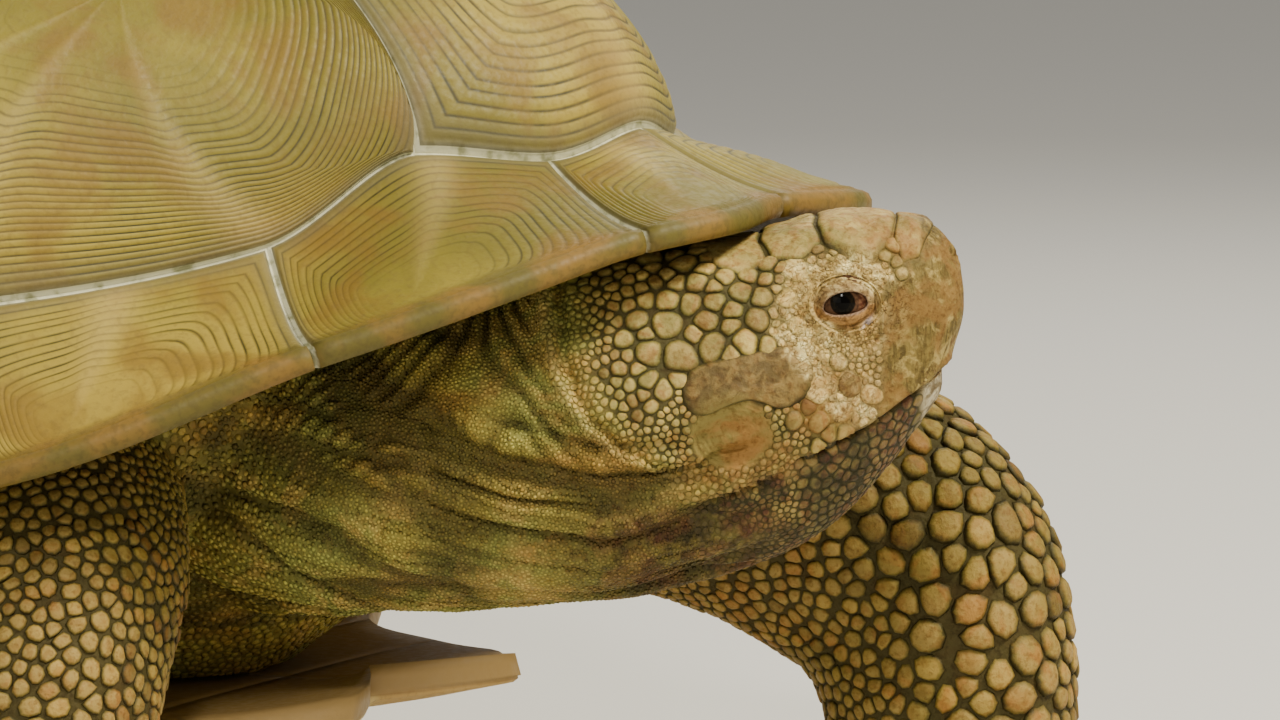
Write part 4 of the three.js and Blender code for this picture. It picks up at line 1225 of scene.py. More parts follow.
def inside_outline(forward, z, outline):
    """Signed closeness to an outline on the head's side: above 0 inside it."""
    poly = np.array(outline)
    crossing = np.zeros(len(forward), bool)
    nearest = np.full(len(forward), 1e9)
    for (x0, y0), (x1, y1) in zip(poly, np.roll(poly, -1, 0)):
        ex, ey = x1 - x0, y1 - y0
        crossing ^= ((y0 > z) != (y1 > z)) & (forward < ex * (z - y0) / (ey if ey else 1e-9) + x0)
        t = np.clip(((forward - x0) * ex + (z - y0) * ey) / (ex * ex + ey * ey), 0, 1)
        nearest = np.minimum(nearest, np.hypot(forward - x0 - t * ex, z - y0 - t * ey))
    return np.where(crossing, nearest, -nearest)


# ---- markings: where each colour lies, the same on the skin and on its scales ----------------
# patches on the head's side: [forward, height, half width, half height, strength, how soft the
# border is, how far noise moves it along and up]
PATCHES = {
    "cream": [[0, 206, 19, 14, 1, 0.35, 0.5, 0], [29, 180, 5, 5, 0.8, 0.35, 0, 0]],
    "rust": [[8, 196, 9, 8, 0.8, 0.35, 0, 0], [-30, 156, 18, 9, 0.7, 0.35, 0, 0],
             [-48, 134, 30, 9, 0.55, 0.6, 0, 1], [15, 224, 11, 8, 0.7, 0.6, 1, 0]],
    "dark": [[-21, 148, 6.5, 5.5, 1, 0.35, 0.4, 0.4], [-33, 138.5, 14, 8, 1, 0.35, 0.4, 0.4],
             [-52, 133, 14, 5, 1, 0.35, 0.4, 0.4]],
    "cheek": [[8, 186, 12, 9, 1, 0.6, 0, 0]],
    "lips": [[-3, 176, 15, 12, 1, 0.35, 0, 0.6]],
    "ear": [[EAR["forward"], EAR["z"], EAR["wide"] * 1.1, EAR["tall"] * 1.1, 1, 0.35, 0, 0]],
}


def patches(name, forward, z, broken):
    """1 inside the patches of a name, times their strength, and 0 outside."""
    result = np.zeros(len(z))
    for at, height, wide, tall, strength, soft, along_noise, up_noise in PATCHES[name]:
        far = np.hypot((forward + along_noise * broken - at) / wide, (z + up_noise * broken - height) / tall)
        result = np.maximum(result, strength * (1 - smoothstep(far, 1 - soft, 1 + soft)))
    return result


def near_head(p):
    """The part of space that the head's measures are good for."""
    return (np.abs(head_place(p)[1]) < 56) & (p[:, 2] > 100) & (p[:, 0] > 250)


def markings(p):
    """Shares of each colour at points on the animal."""
    forward, _, z = head_place(p)
    on_face = near_head(p)
    broken = 5 * noise(p, 16, 31) + 3 * noise(p, 7, 32)
    fold = forward - along(NAPE_FOLD, z)
    head = np.maximum(smoothstep(fold + 0.4 * broken, -2, 20) * smoothstep(z + broken, 128, 142),
                      smoothstep(forward, -32, -18))
    above = z - mouth_height(forward)
    cheek, lips = (patches(name, forward, z, broken) for name in ("cheek", "lips"))
    cream = np.maximum(patches("cream", forward, z, broken),
                       (0.95 - 0.6 * cheek) * crumpled(forward, z + broken * 0.3))
    brown = (inside_outline(forward, z, BEAN) > -0.8).astype(float)
    rust = np.maximum(patches("rust", forward, z, broken), lips * (above > -1))
    jaw = smoothstep(-above, 0.2, 2.5) * smoothstep(forward + broken * 0.7, -20, -8) \
        * (1 - smoothstep(forward, 22, 28)) * (0.97 - 0.15 * smoothstep(-above, 8, 20))
    # painted shade under the throat, darker towards the bottom
    throat = 0.9 * smoothstep(138 - z - 0.1 * forward, -6, 8) * smoothstep(forward, -110, -60)
    face = {"head": head, "cream": np.clip(cream, 0, 1) * head, "rust": np.clip(rust, 0, 1) * (1 - brown),
            "dark": np.maximum.reduce([jaw, throat, patches("dark", forward, z, broken)]),
            "beak": beak_share(p), "tip": smoothstep(forward, 23, 27) * (above <= -0.5),
            "nape": bell(fold + 1.6, 2.6) * smoothstep(z, 146, 164),
            "ear": patches("ear", forward, z, broken), "brown": brown}
    result = {key: share * on_face for key, share in face.items()}
    far, _, _, share, _ = leg_place(p)
    neck_side = (p[:, 0] > 120) & (np.abs(p[:, 1] + 30) < 72) & (z > 98) & ~((p[:, 1] > 60) & (z < 150))
    near_neck = (neck_place(p)[2] < 66) & (z > 90)
    # painted shade along the neck's creases, as deep as each crease
    crease = sum(depth * crease for depth, crease in zip(CREASE_PAINTED_SHADE, neck_creases(p)))
    result["crease"] = np.clip(crease, 0, 1) * near_neck * (1 - result["beak"])
    limb = smoothstep(-far, -75, -60) * smoothstep(share, 0.1, 0.35)
    result["leg"] = np.maximum(limb, smoothstep(100 - p[:, 0], 0, 60)) * ~(neck_side | on_face)
    return result


# ---- materials of the flesh ------------------------------------------------------------------
def flesh_material(name, scaly):
    """Skin, or the scales over it: the same markings, darker and duller between the scales, the darkness partly
    painted shade.
    """
    material, g = new_material(name)
    broad = g.noise(0.055, detail=4)
    blotch = g.noise(0.014, detail=4, distortion=0.5)
    mottle = g.noise(0.005, detail=4, distortion=0.6)
    fine = g.noise(0.0018, detail=5, rough=0.65)
    neck = g.pair(broad, 0.38, 0.62, (178, 158, 72), (146, 146, 70))
    neck = g.tint(neck, g.span(blotch, 0.46, 0.66), 0.6, (212, 174, 96))
    patch = g.noise(0.034, detail=4, stretch=(0.6, 0.6, 1.6))
    neck = g.mix(g.span(patch, 0.5, 0.66, 0.0, 0.55), neck, srgb(150, 100, 44))
    # painted shade in the neck's creases
    neck = g.tint(neck, g.value("crease"), 0.76, (58, 52, 18))
    head = g.pair(blotch, 0.36, 0.64, (132, 118, 60), (174, 150, 84))
    head = g.tint(head, g.span(mottle, 0.46, 0.64), 0.55, (144, 104, 54))
    leg = g.pair(broad, 0.4, 0.62, (148, 122, 62), (124, 104, 42))
    leg = g.tint(leg, g.span(blotch, 0.5, 0.68), 0.6, (148, 98, 40))
    colour = g.mix(g.value("head"), neck, head)
    colour = g.mix(g.value("leg"), colour, leg)
    colour = g.mix(g.value("brown"), colour, g.pair(mottle, 0.4, 0.62, (92, 74, 36), (130, 106, 56)))
    colour = g.tint(colour, g.value("rust"), g.span(mottle, 0.36, 0.58, 0.35, 1.0), (138, 98, 46))
    patchy = g.times(g.span(mottle, 0.42, 0.6, 0.2, 1.0), g.span(blotch, 0.4, 0.56, 0.3, 1.0))
    colour = g.tint(colour, g.value("cream"), 0.6, (172, 136, 74))
    colour = g.tint(colour, g.value("cream"), patchy, (240, 220, 150))
    colour = g.mix(g.value("ear"), colour, g.pair(blotch, 0.4, 0.6, (124, 108, 54), (140, 102, 50)))
    colour = g.tint(colour, g.value("nape"), 0.3, (176, 154, 96))
    # the jaw's dark skin, with painted shade under the throat
    dark_skin_and_shade = g.pair(blotch, 0.42, 0.6, (52, 44, 18), (74, 42, 22))
    colour = g.mix(g.times(g.value("dark"), g.span(mottle, 0.38, 0.6, 0.72, 1.0)), colour, dark_skin_and_shade)
    streaks = g.noise(0.0042, detail=5, stretch=(1.8, 1.8, 0.5), distortion=1.2)
    horn = g.pair(streaks, 0.34, 0.66, (78, 64, 28), (120, 101, 50))
    horn = g.tint(horn, g.span(mottle, 0.5, 0.64), 0.7, (168, 146, 84))
    horn = g.tint(horn, g.span(blotch, 0.46, 0.6), 0.8, (120, 88, 42))
    colour = g.mix(g.value("beak"), colour, horn)
    # fine wrinkles where the skin is loose, their lines darkened with painted shade
    wrinkle = g.maths("ABSOLUTE", g.maths("SUBTRACT", g.noise(0.0036, detail=3, distortion=1.4), 0.5))
    loose = g.maths("MAXIMUM", g.value("cream"), g.value("lined"))
    lined = g.times(g.maths("SUBTRACT", 1.0, g.span(wrinkle, 0.0, 0.035)), loose)
    colour = g.tint(colour, lined, 0.6, (120, 88, 50))
    grain = g.bump(fine, 0.0006, 0.9, g.bump(g.maths("SUBTRACT", 1.0, lined), 0.0007, 0.8))
    scaled = g.maths("MAXIMUM", g.value("head"), g.value("leg"))
    pale = g.maths("MAXIMUM", g.times(g.value("cream"), 0.8), g.times(g.value("rust"), 0.75))
    colour = g.mix(g.value("tip"), colour, g.pair(mottle, 0.4, 0.6, (112, 96, 66), (184, 172, 140)))
    if scaly:
        tone = g.value("tone")
        colour = g.mix(g.span(tone, 0.1, 1.0), colour, (1.24, 1.22, 1.12), "MULTIPLY")
        colour = g.mix(g.span(tone, -0.2, -1.0), colour, (0.62, 0.6, 0.55), "MULTIPLY")
        # each scale darkens towards its border and most where it sinks into the groove: darker skin there, and
        # painted shade
        border = g.maths("ADD", g.value("rise"), g.span(fine, 0.3, 0.7, -0.05, 0.05))
        open_skin = g.maths("SUBTRACT", 1.0, pale)
        colour = g.mix(g.times(g.span(border, 0.36, 0.14), open_skin), colour, (0.5, 0.54, 0.38), "MULTIPLY")
        groove_shade = g.times(g.span(border, 0.17, 0.04, 0.0, 0.85), open_skin)
        colour = g.tint(colour, groove_shade, g.span(scaled, 0.2, 0.8, 0.6, 1.0), (50, 46, 20))
        colour = g.mix(g.span(fine, 0.5, 0.68), colour, (0.68, 0.62, 0.56), "MULTIPLY")
        colour = g.mix(g.span(g.noise(0.003, detail=3), 0.46, 0.62), colour, (0.84, 0.76, 0.66), "MULTIPLY")
        g.set(colour, g.span(fine, 0.3, 0.7, 0.5, 0.72), 0.22, Normal=g.bump(mottle, 0.0007, 0.5, grain))
        return material
    # the skin between the scales is darker, with painted shade in the gaps, except where it is bare or pale
    deep = g.mix(g.span(scaled, 0.2, 0.8, 0.42, 0.88), colour, srgb(40, 38, 14))
    colour = g.mix(g.maths("MAXIMUM", g.value("bare"), pale), deep, colour)
    colour = g.mix(g.value("lid"), colour, g.pair(mottle, 0.4, 0.6, (112, 76, 36), (150, 108, 58)))
    upper = g.pair(mottle, 0.4, 0.6, (108, 80, 50), (152, 124, 80))
    colour = g.mix(g.times(g.value("upper"), 0.8), colour, upper)
    colour = g.mix(g.value("margin"), colour, srgb(150, 124, 104))
    # a painted highlight: the wet sheen on the lower lid
    colour = g.mix(g.value("streak"), colour, srgb(196, 184, 188))
    colour = g.mix(g.span(fine, 0.48, 0.68), colour, (0.66, 0.6, 0.54), "MULTIPLY")
    # the ear's round wrinkles
    rings = g.times(g.maths("SINE", g.times(g.value("ear_far"), 44.0)), g.value("ear_rings"))
    relief = g.bump(rings, 0.0004, 0.4, grain)
    g.set(colour, g.span(fine, 0.3, 0.7, 0.55, 0.75), 0.15, Normal=g.bump(mottle, 0.0007, 0.5, relief))
    return material


SKIN = flesh_material("skin_between_scales", False)
SCALE = flesh_material("scales", True)


def bare_skin(p):
    """1 where the skin shows without scales: the beak, the ear and the lids."""
    forward, left, z = head_place(p)
    mark = markings(p)
    side = (np.abs(left) > 12) & (np.abs(left) < 56)
    ear = side * (1 - smoothstep(off_oval(forward, z, EAR), 0.95, 1.1))
    lids = side * (1 - smoothstep(off_oval(forward, z, LIDS) / 1.12, 0.9, 1.05))
    return np.maximum.reduce([mark["beak"], mark["tip"], ear, lids])


def ear_values(p):
    """Distance from the ear's middle, 1 at its rim, and where its round wrinkles show."""
    forward, _, z = head_place(p)
    far = off_oval(forward, z, EAR) + 0.12 * noise(p, 8, 36) + 0.04 * noise(p, 2.5, 35)
    low_back = 0.4 + 0.6 * smoothstep(-(z - EAR["z"]) - 0.5 * (forward - EAR["forward"]), -4, 6)
    rings = smoothstep(far, 0.15, 0.4) * (1 - smoothstep(far, 1.25, 1.6)) * low_back
    return {"ear_far": far, "ear_rings": rings}


skin = build_skin()
skin.data.materials.clear()
skin.data.materials.append(SKIN)
skin.data.shade_smooth()
SKIN_POINTS = mesh_points(skin.data)
set_values(skin.data, {**markings(SKIN_POINTS), **ear_values(SKIN_POINTS), "bare": bare_skin(SKIN_POINTS)})
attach(skin, "root")
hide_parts("head", "neck", "trunk", "tail", *LEGS)


# ---- sowing: roots of scales over the skin ---------------------------------------------------
RAY_LENGTH = 120                # of every look across or past the animal


def mesh_triangles(mesh):
    mesh.calc_loop_triangles()
    flat = np.zeros(len(mesh.loop_triangles) * 3, np.int32)
    mesh.loop_triangles.foreach_get("vertices", flat)
    return flat.reshape(-1, 3)


TRIANGLES = mesh_triangles(skin.data)
SKIN_NORMALS = read_vectors(skin.data, "normal")
SKIN_TREE = BVHTree.FromPolygons(SKIN_POINTS.tolist(), TRIANGLES.tolist())


def sow(keep, size, crowd, seed):
    """Random places over the triangles that keep() takes, about crowd for each scale that fits."""
    draws = np.random.default_rng(seed)
    corners = SKIN_POINTS[TRIANGLES]
    centre = corners.mean(1)
    chosen = keep(centre)
    corners, index = corners[chosen], np.nonzero(chosen)[0]
    area = np.linalg.norm(np.cross(corners[:, 1] - corners[:, 0], corners[:, 2] - corners[:, 0]), axis=1) / 2
    wanted = crowd * area / (0.8 * size(centre[chosen]) ** 2)
    count = np.floor(wanted + draws.random(len(wanted))).astype(int)
    which = np.repeat(np.arange(len(count)), count)
    a, b = draws.random((2, len(which)))
    flip = a + b > 1
    a, b = np.where(flip, 1 - a, a), np.where(flip, 1 - b, b)
    weight = np.stack([a, b, 1 - a - b], 1)[..., None]
    p = (corners[which] * weight).sum(1)
    n = unit((SKIN_NORMALS[TRIANGLES[index[which]]] * weight).sum(1))
    order = draws.permutation(len(p))
    return p[order], n[order]


APART = 0.88                    # how near two scales' roots may be, as a share of their middle size
UNEVEN = 1.5


def spaced(p, size, first, cell):
    """Indices of points kept so that scales of their sizes fit side by side; the first ones stay.

    The points are looked up in cells of the given size. A scale's neighbours are taken to be at
    most UNEVEN times as large.
    """
    keys = np.floor(p / cell).astype(int).tolist()
    places = p.tolist()
    sizes = size.tolist()
    reaches = np.maximum(1, np.ceil(APART * size * (1 + UNEVEN) / 2 / cell)).astype(int).tolist()
    steps = {reach: (np.array(list(np.ndindex(*[2 * reach + 1] * 3))) - reach).tolist()
             for reach in set(reaches)}
    free = np.ones(len(p), bool)
    for k in range(first):
        free &= np.linalg.norm(p - p[k], axis=1) > APART * (size + size[k]) / 2
    grid = {}

    def clear(i):
        x, y, z = places[i]
        kx, ky, kz = keys[i]
        for dx, dy, dz in steps[reaches[i]]:
            for qx, qy, qz, other in grid.get((kx + dx, ky + dy, kz + dz), ()):
                gap = APART * (sizes[i] + other) / 2
                if (x - qx) ** 2 + (y - qy) ** 2 + (z - qz) ** 2 < gap * gap:
                    return False
        return True

    kept = list(range(first))
    for i in np.nonzero(free)[0].tolist():
        if clear(i):
            grid.setdefault(tuple(keys[i]), []).append((*places[i], sizes[i]))
            kept.append(i)
    return np.array(kept)


def plate_tree():
    """All the shell's plates as one tree, to see what they hide."""
    plates = [piece.data for piece in bpy.data.objects if piece.name.startswith("plate_")]
    points, faces = joined([(mesh_points(mesh), mesh_triangles(mesh).tolist()) for mesh in plates])
    return BVHTree.FromPolygons(points.tolist(), faces)


PLATE_TREE = plate_tree()
# the ways from which scales are looked at, to leave out those that nobody could see
LOOKS = [Vector(look) for look in unit(np.array([
    [1, 0, 0.1], [0.7, 0.7, 0.1], [0, 1, 0.1], [-0.7, 0.7, 0.1], [-1, 0, 0.1], [-0.7, -0.7, 0.1], [0, -1, 0.1],
    [0.7, -0.7, 0.1], [0.46, -0.88, 0.1], [0.9, -0.4, 0.35], [0.9, 0.4, 0.35], [0, 0, 1], [0, 0, -1],
    [0.7, 0, -0.7], [0, 0.7, -0.7], [0, -0.7, -0.7], [-0.7, 0, -0.7]], float))]
LOOK_FROM, LEAST_FACING = 1.5, 0.05


def seen(p, n):
    """Which points can be seen from outside the animal, from some side."""
    def open_to(start, look):
        return (PLATE_TREE.ray_cast(start, look)[0] is None
                and SKIN_TREE.ray_cast(start, look, RAY_LENGTH)[0] is None)

    return np.array([any(normal.dot(look) >= LEAST_FACING and open_to(start, look) for look in LOOKS)
                     for start, normal in zip(map(Vector, p + n * LOOK_FROM), map(Vector, n))])


def scatter(keep, size_of, crowd, seed, cell=3.4, clear=None, fixed=None):
    """Roots, normals and sizes of scales that fit side by side and can be seen.

    clear() says which of the sown places are open ground, and fixed ones come first and stay.
    """
    roots = sow(keep, size_of, crowd, seed)
    if clear is not None:
        ground = clear(roots[0])
        roots = [column[ground] for column in roots]
    roots = [*roots, size_of(roots[0])]
    if fixed is not None:
        roots = [np.concatenate(pair) for pair in zip(fixed, roots)]
    kept = spaced(roots[0], roots[2], 0 if fixed is None else len(fixed[0]), cell)
    roots = [column[kept] for column in roots]
    can = seen(*roots[:2])
    return [column[can] for column in roots]


# ---- growing: each root becomes a low solid scale --------------------------------------------
FLOOR_GAP = 0.3                 # no scale or claw comes nearer to the floor than this
NEIGHBOURS = 12                 # of a scale, that may limit it
PATCH = 0.0015                  # half of a scale's patch on the OFBake map
UNDER = 0.5                     # how deep in the skin a scale's lowest point is


def cell_radii(p, n, size, sides, spread):
    """How far each scale reaches in each direction before it meets its neighbours."""
    tree = KDTree(len(p))
    for i, place in enumerate(p):
        tree.insert(place, i)
    tree.balance()
    near_index = np.array([[found[1] for found in tree.find_n(place, min(NEIGHBOURS + 1, len(p)))]
                           for place in p])
    near_index = near_index[:, 1:]
    helper = np.where(np.abs(n[:, 2:3]) < 0.9, UP[None], np.array([[1.0, 0, 0]]))
    first = unit(np.cross(helper, n))
    second = np.cross(n, first)
    turn = ring_angles(sides)
    offset = p[near_index] - p[:, None]
    dx, dy = np.sum(offset * first[:, None], -1), np.sum(offset * second[:, None], -1)
    reach = np.sum(offset**2, -1) + (size[:, None] ** 2 - size[near_index] ** 2) / 4
    toward = dx[..., None] * np.cos(turn) + dy[..., None] * np.sin(turn)
    radius = np.where(toward > 1e-6, reach[..., None] / (2 * np.maximum(toward, 1e-6)), 1e9).min(1)
    radius = np.clip(radius, 0.22 * size[:, None], spread * size[:, None])
    return radius, np.cos(turn)[:, None] * first[:, None] + np.sin(turn)[:, None] * second[:, None]


def grow_scales(name, roots, rows, groove, height, lie, sides, tilt=0.0, slot="skin", project=False,
                pieces=1, seed=0, round_off=0.12, point=0.0, others=None, spread=0.78, rugged=0.0):
    """Domed closed scales over roots, normals and sizes, as joined meshes.

    rows are (share of the radius, share of the height) from the border in; groove is the bare gap in
    mm; lie the way the scales point, towards which tilt raises them; point draws their tips out;
    rugged is the height of their roughness. others are the roots, normals and sizes of other scales
    among these ones.
    """
    p, n, size = roots
    crowd = roots if others is None else [np.concatenate(pair) for pair in zip(roots, others)]
    radius, direction = (found[:len(p)] for found in cell_radii(*crowd, sides, spread))
    for _ in range(max(1, sides // 9)):
        radius = radius * (1 - 2 * round_off) + round_off * (np.roll(radius, 1, 1) + np.roll(radius, -1, 1))
    radius = np.maximum(radius - groove[:, None], 0.25 * size[:, None])
    draws = np.random.default_rng(seed)
    tone = np.clip(draws.normal(0, 0.5, len(p)), -1, 1)
    tall = height * draws.uniform(0.8, 1.2, len(p))
    flat_lie = unit(lie - n * np.sum(lie * n, 1, keepdims=True))
    along_lie = np.sum(direction * flat_lie[:, None], -1)
    radius = radius * (1 + point * np.maximum(along_lie, 0) ** 3)
    layers, rises = [], []
    for share, up in rows:
        place = p[:, None] + direction * (radius * share)[..., None]
        rise = tall[:, None] * up + tilt * (radius * share) * along_lie * (up > 0)
        if project:
            place = on_skin(place, n)
        if rugged:
            rise = rise + rugged * (up > 0) * noise(place.reshape(-1, 3), 1.7, seed + 7).reshape(rise.shape)
        layers.append(place + n[:, None] * rise[..., None])
        rises.append(np.full((len(p), sides), 1 - share if up > 0 else 0.0))
    crown = (on_skin(p[:, None], n)[:, 0] if project else p) + n * (tall * max(rows[-1][1], 0.9))[:, None]
    verts = np.concatenate([np.concatenate(layers, 1), crown[:, None], (p - n * UNDER)[:, None]], 1)
    verts[..., 2] = np.maximum(verts[..., 2], FLOOR_GAP)
    rise_value = np.concatenate(rises + [np.ones((len(p), 1)), np.zeros((len(p), 1))], 1)
    per = verts.shape[1]
    starts = [row * sides for row in range(len(rows))]
    quads = np.array(tube(starts, sides), int).reshape(-1, sides, 4)
    # each quad is two triangles, and the first ones of a ring come before the second ones
    triangles = np.concatenate([quads[..., [0, 1, 2]], quads[..., [0, 2, 3]]], 1).reshape(-1, 3)
    triangles = np.concatenate([triangles, fan(starts[-1], sides, per - 2),
                                fan(0, sides, per - 1, turned=True)])
    turn = ring_angles(sides)
    disc = PATCH * np.stack([np.cos(turn), np.sin(turn)], 1)
    bake = unwrap(p)[:, None] + np.concatenate([share * disc for share, _ in rows] + [np.zeros((2, 2))])
    bounds = np.linspace(0, len(p), pieces + 1).astype(int)
    order = np.lexsort((p[:, 1], p[:, 0])) if pieces > 1 else np.arange(len(p))
    for k in range(pieces):
        pick = order[bounds[k]:bounds[k + 1]]
        faces = (triangles[None] + (np.arange(len(pick)) * per)[:, None, None]).reshape(-1, 3)
        values = {key: np.repeat(column, per) for key, column in markings(p[pick]).items()}
        values.update(tone=np.repeat(tone[pick], per), rise=rise_value[pick].ravel())
        make_piece(name if pieces == 1 else f"{name}_{k + 1}", verts[pick].reshape(-1, 3), faces, SCALE,
                   values=values, bake=bake[pick].reshape(-1, 2))


def grow_two_sorts(sorts, roots, small, groove, height, **settings):
    """Scales of two sorts, large and small ones, which make room for each other."""
    for (name, rows, sides, share, pieces), pick in zip(sorts, (~small, small)):
        grow_scales(name, [column[pick] for column in roots], rows, share * groove[pick], height[pick],
                    sides=sides, pieces=pieces, others=[column[~pick] for column in roots], **settings)


def skin_hit(start, way, length=RAY_LENGTH):
    """Where a line from a place first meets the skin, or None."""
    hit = SKIN_TREE.ray_cast(Vector(start), Vector(way), length)[0]
    return None if hit is None else np.array(hit)


OVER_SKIN, FALL = 8, 20         # a point is dropped from this high, at most this far


def on_skin(place, n):
    """Points moved along each root's normal onto the skin."""
    result = place.copy()
    for i, k in np.ndindex(place.shape[:2]):
        hit = skin_hit(place[i, k] + n[i] * OVER_SKIN, -n[i], FALL)
        if hit is not None:
            result[i, k] = hit
    return result


def unwrap(p):
    """The skin's own unwrap: round and along the head and neck, each leg, the tail and the trunk."""
    def turn(y, x):
        return np.arctan2(y, x) / (2 * math.pi) + 0.5

    def block(u, v, wide, tall, across, up):
        return np.stack([u + wide * across, v + tall * up], 1)

    far, _, number, share, best = leg_place(p)
    to_neck = np.linalg.norm(p[:, None] - SPINE[None, :, :3], axis=2)
    at = to_neck.argmin(1)
    on_neck = (to_neck.min(1) < 62) & (p[:, 2] > 90) & (p[:, 0] > 120)
    is_leg = ~on_neck & (far < 62)
    is_tail = ~on_neck & ~is_leg & (p[:, 0] < -262) & (np.abs(p[:, 1]) < 50)
    bearing = SPINE[at, 3]
    across = np.stack([-np.sin(bearing), np.cos(bearing), 0 * at], -1)
    round_neck = turn(np.sum((p - SPINE[at, :3]) * across, 1), p[:, 2] - SPINE[at, 2])
    row = LEG_TABLE[best]
    away = p - row[:, :3]
    round_leg = turn(np.sum(away * row[:, 6:9], 1), np.sum(away * row[:, 3:6], 1))
    uv = block(0.3, 0.52, 0.68, 0.46, turn(p[:, 1], p[:, 0]), np.clip((p[:, 2] - 60) / 190, 0, 1))
    for where, own in (
            (is_leg, block(0.52, 0.02, 0.11, 0.46, number + round_leg, share)),
            (is_tail, block(0.02, 0.52, 0.2, 0.2, turn(p[:, 1], p[:, 2] - 100),
                         np.clip((p[:, 2] - 50) / 110, 0, 1))),
            (on_neck, block(0.02, 0.02, 0.46, 0.46, round_neck, at / (len(SPINE) - 1)))):
        uv[where] = own[where]
    return uv


# ---- the head's scales -----------------------------------------------------------------------
HEAD_COAT_BACK = -3.0           # the head's scales begin at the fold behind it
OUTLINE_GAP = 0.9               # and keep this far off the outlined ones
CROWN_LOW, EAR_SIDE = 205, 14   # heights and sides from which the outlines count
LIP_REAR, LIP_GAP = -14, 1.4    # the mouth's corner, and the bare strip along its line
# broad scales of the crown and temples, on both sides: forward, height, diameter
BROAD = [(-50.7, 189.7, 9.6), (-54.7, 199, 9.0), (-60.6, 190.6, 8.2), (-64, 200, 6.8), (-54.2, 206, 7.2),
         (-40.4, 193.2, 8.4), (-30.5, 194.6, 8.0), (-26.3, 200.5, 8.0), (-42.3, 200.2, 7.0), (-34.6, 198.6, 5.6),
         (-34.4, 203.4, 5.2), (-40, 206, 6.4), (-68.2, 194.4, 6.2), (-47.2, 205.6, 6.6), (-60.6, 182.2, 5.8),
         (-55.6, 179.3, 6.6), (-45.2, 211.5, 7.0), (-25.0, 207.5, 7.0), (-31.5, 209.0, 7.0), (-69.5, 186.0, 5.0),
         (-7.6, 179.0, 8.6), (2.4, 180.2, 8.2), (-15.2, 169.6, 7.0), (-7.6, 168.6, 7.0), (0.5, 171.8, 6.4),
         (8.5, 177.0, 6.4), (-16.6, 178.6, 3.8), (-1.4, 187.4, 6.6), (-14.0, 199.0, 6.2), (-17.0, 207.0, 6.6),
         (-14.0, 214.5, 7.4)]
# scales on top of the head behind the outlined ones: forward, left, diameter
CROWN = [(-50, 9, 10), (-50, -7, 10), (-49, 21, 9), (-49, -20, 9), (-60, 2, 9), (-60, 15, 8), (-60, -14, 8)]
# outlines of the crown's right half: forward, left
FRONTAL = [(17.2, 0), (17, -10), (15.5, -19), (10, -24.5), (2, -25.5), (-5.5, -23), (-7.5, -12), (-7, 0),
           (-7.5, 12), (-5.5, 23), (2, 25.5), (10, 24.5), (15.5, 19), (17, 10)]
CROWN_OUTLINES = {
    "prefrontal": [(17.8, -0.3), (17.8, -10), (16.4, -19), (19, -22), (24, -19), (27.5, -12), (29, -5),
                   (29, -0.3)],
    "parietal": [(-7.7, -0.3), (-8.8, -12), (-6.5, -21.8), (-13, -25), (-21.5, -23.5), (-25, -12), (-24, -0.4)],
    "occipital": [(-25.2, -0.4), (-26.2, -12), (-23.4, -23), (-31, -27), (-40, -24), (-43, -12), (-42, -0.4)],
}


def head_scale_size(p):
    """Large over the temples, small behind and below them, on the face, the jaw and round the ear."""
    forward, _, z = head_place(p)
    back = smoothstep(-forward, 54, 88)
    size = 4.9 * (1 - 0.66 * back) * (1 - 0.55 * smoothstep(178 - z, 0, 14) * smoothstep(-forward, 20, 50))
    size = np.where(z > 208, np.maximum(size, 4.6 * (1 - 0.3 * back)), size)
    eye = np.hypot(forward - LIDS["forward"], z - LIDS["z"])
    size = np.where(forward > -22, np.minimum(size, 1.9 + 0.15 * np.maximum(eye - 10, 0)), size)
    size = size * (1 - 0.5 * crumpled(forward, z))
    below = mouth_height(forward) - z
    size = np.where(below > 0, np.where(forward > -14, 3.4 - 0.9 * smoothstep(below, 8, 24), 1.9), size)
    return np.where(off_oval(forward, z, EAR) < 1.8, np.minimum(size, 2.1), size)


def on_head(p):
    forward, _, z = head_place(p)
    return (forward - along(NAPE_FOLD, z) > HEAD_COAT_BACK) & near_head(p)


def side_hit(forward, z, side):
    """Where a line across the head meets the skin from one side."""
    return skin_hit(head_point(forward, side * 70, z), HEAD_LEFT * -side)


def top_hit(forward, left):
    return skin_hit(head_point(forward, left, 260), -UP)


def smooth_normal(p):
    """The skin's normal as shaded, at points on it."""
    corners = [TRIANGLES[SKIN_TREE.find_nearest(Vector(place))[2]] for place in p]
    return unit(np.array([SKIN_NORMALS[corner].mean(0) for corner in corners]))


OUTLINED_SIDES = 96
OUTLINED_ROWS = [(1.0, -0.6), (0.99, 0.1), (0.955, 0.42), (0.9, 0.66), (0.81, 0.86), (0.67, 1.02), (0.5, 1.12),
                 (0.34, 1.17), (0.17, 1.2)]


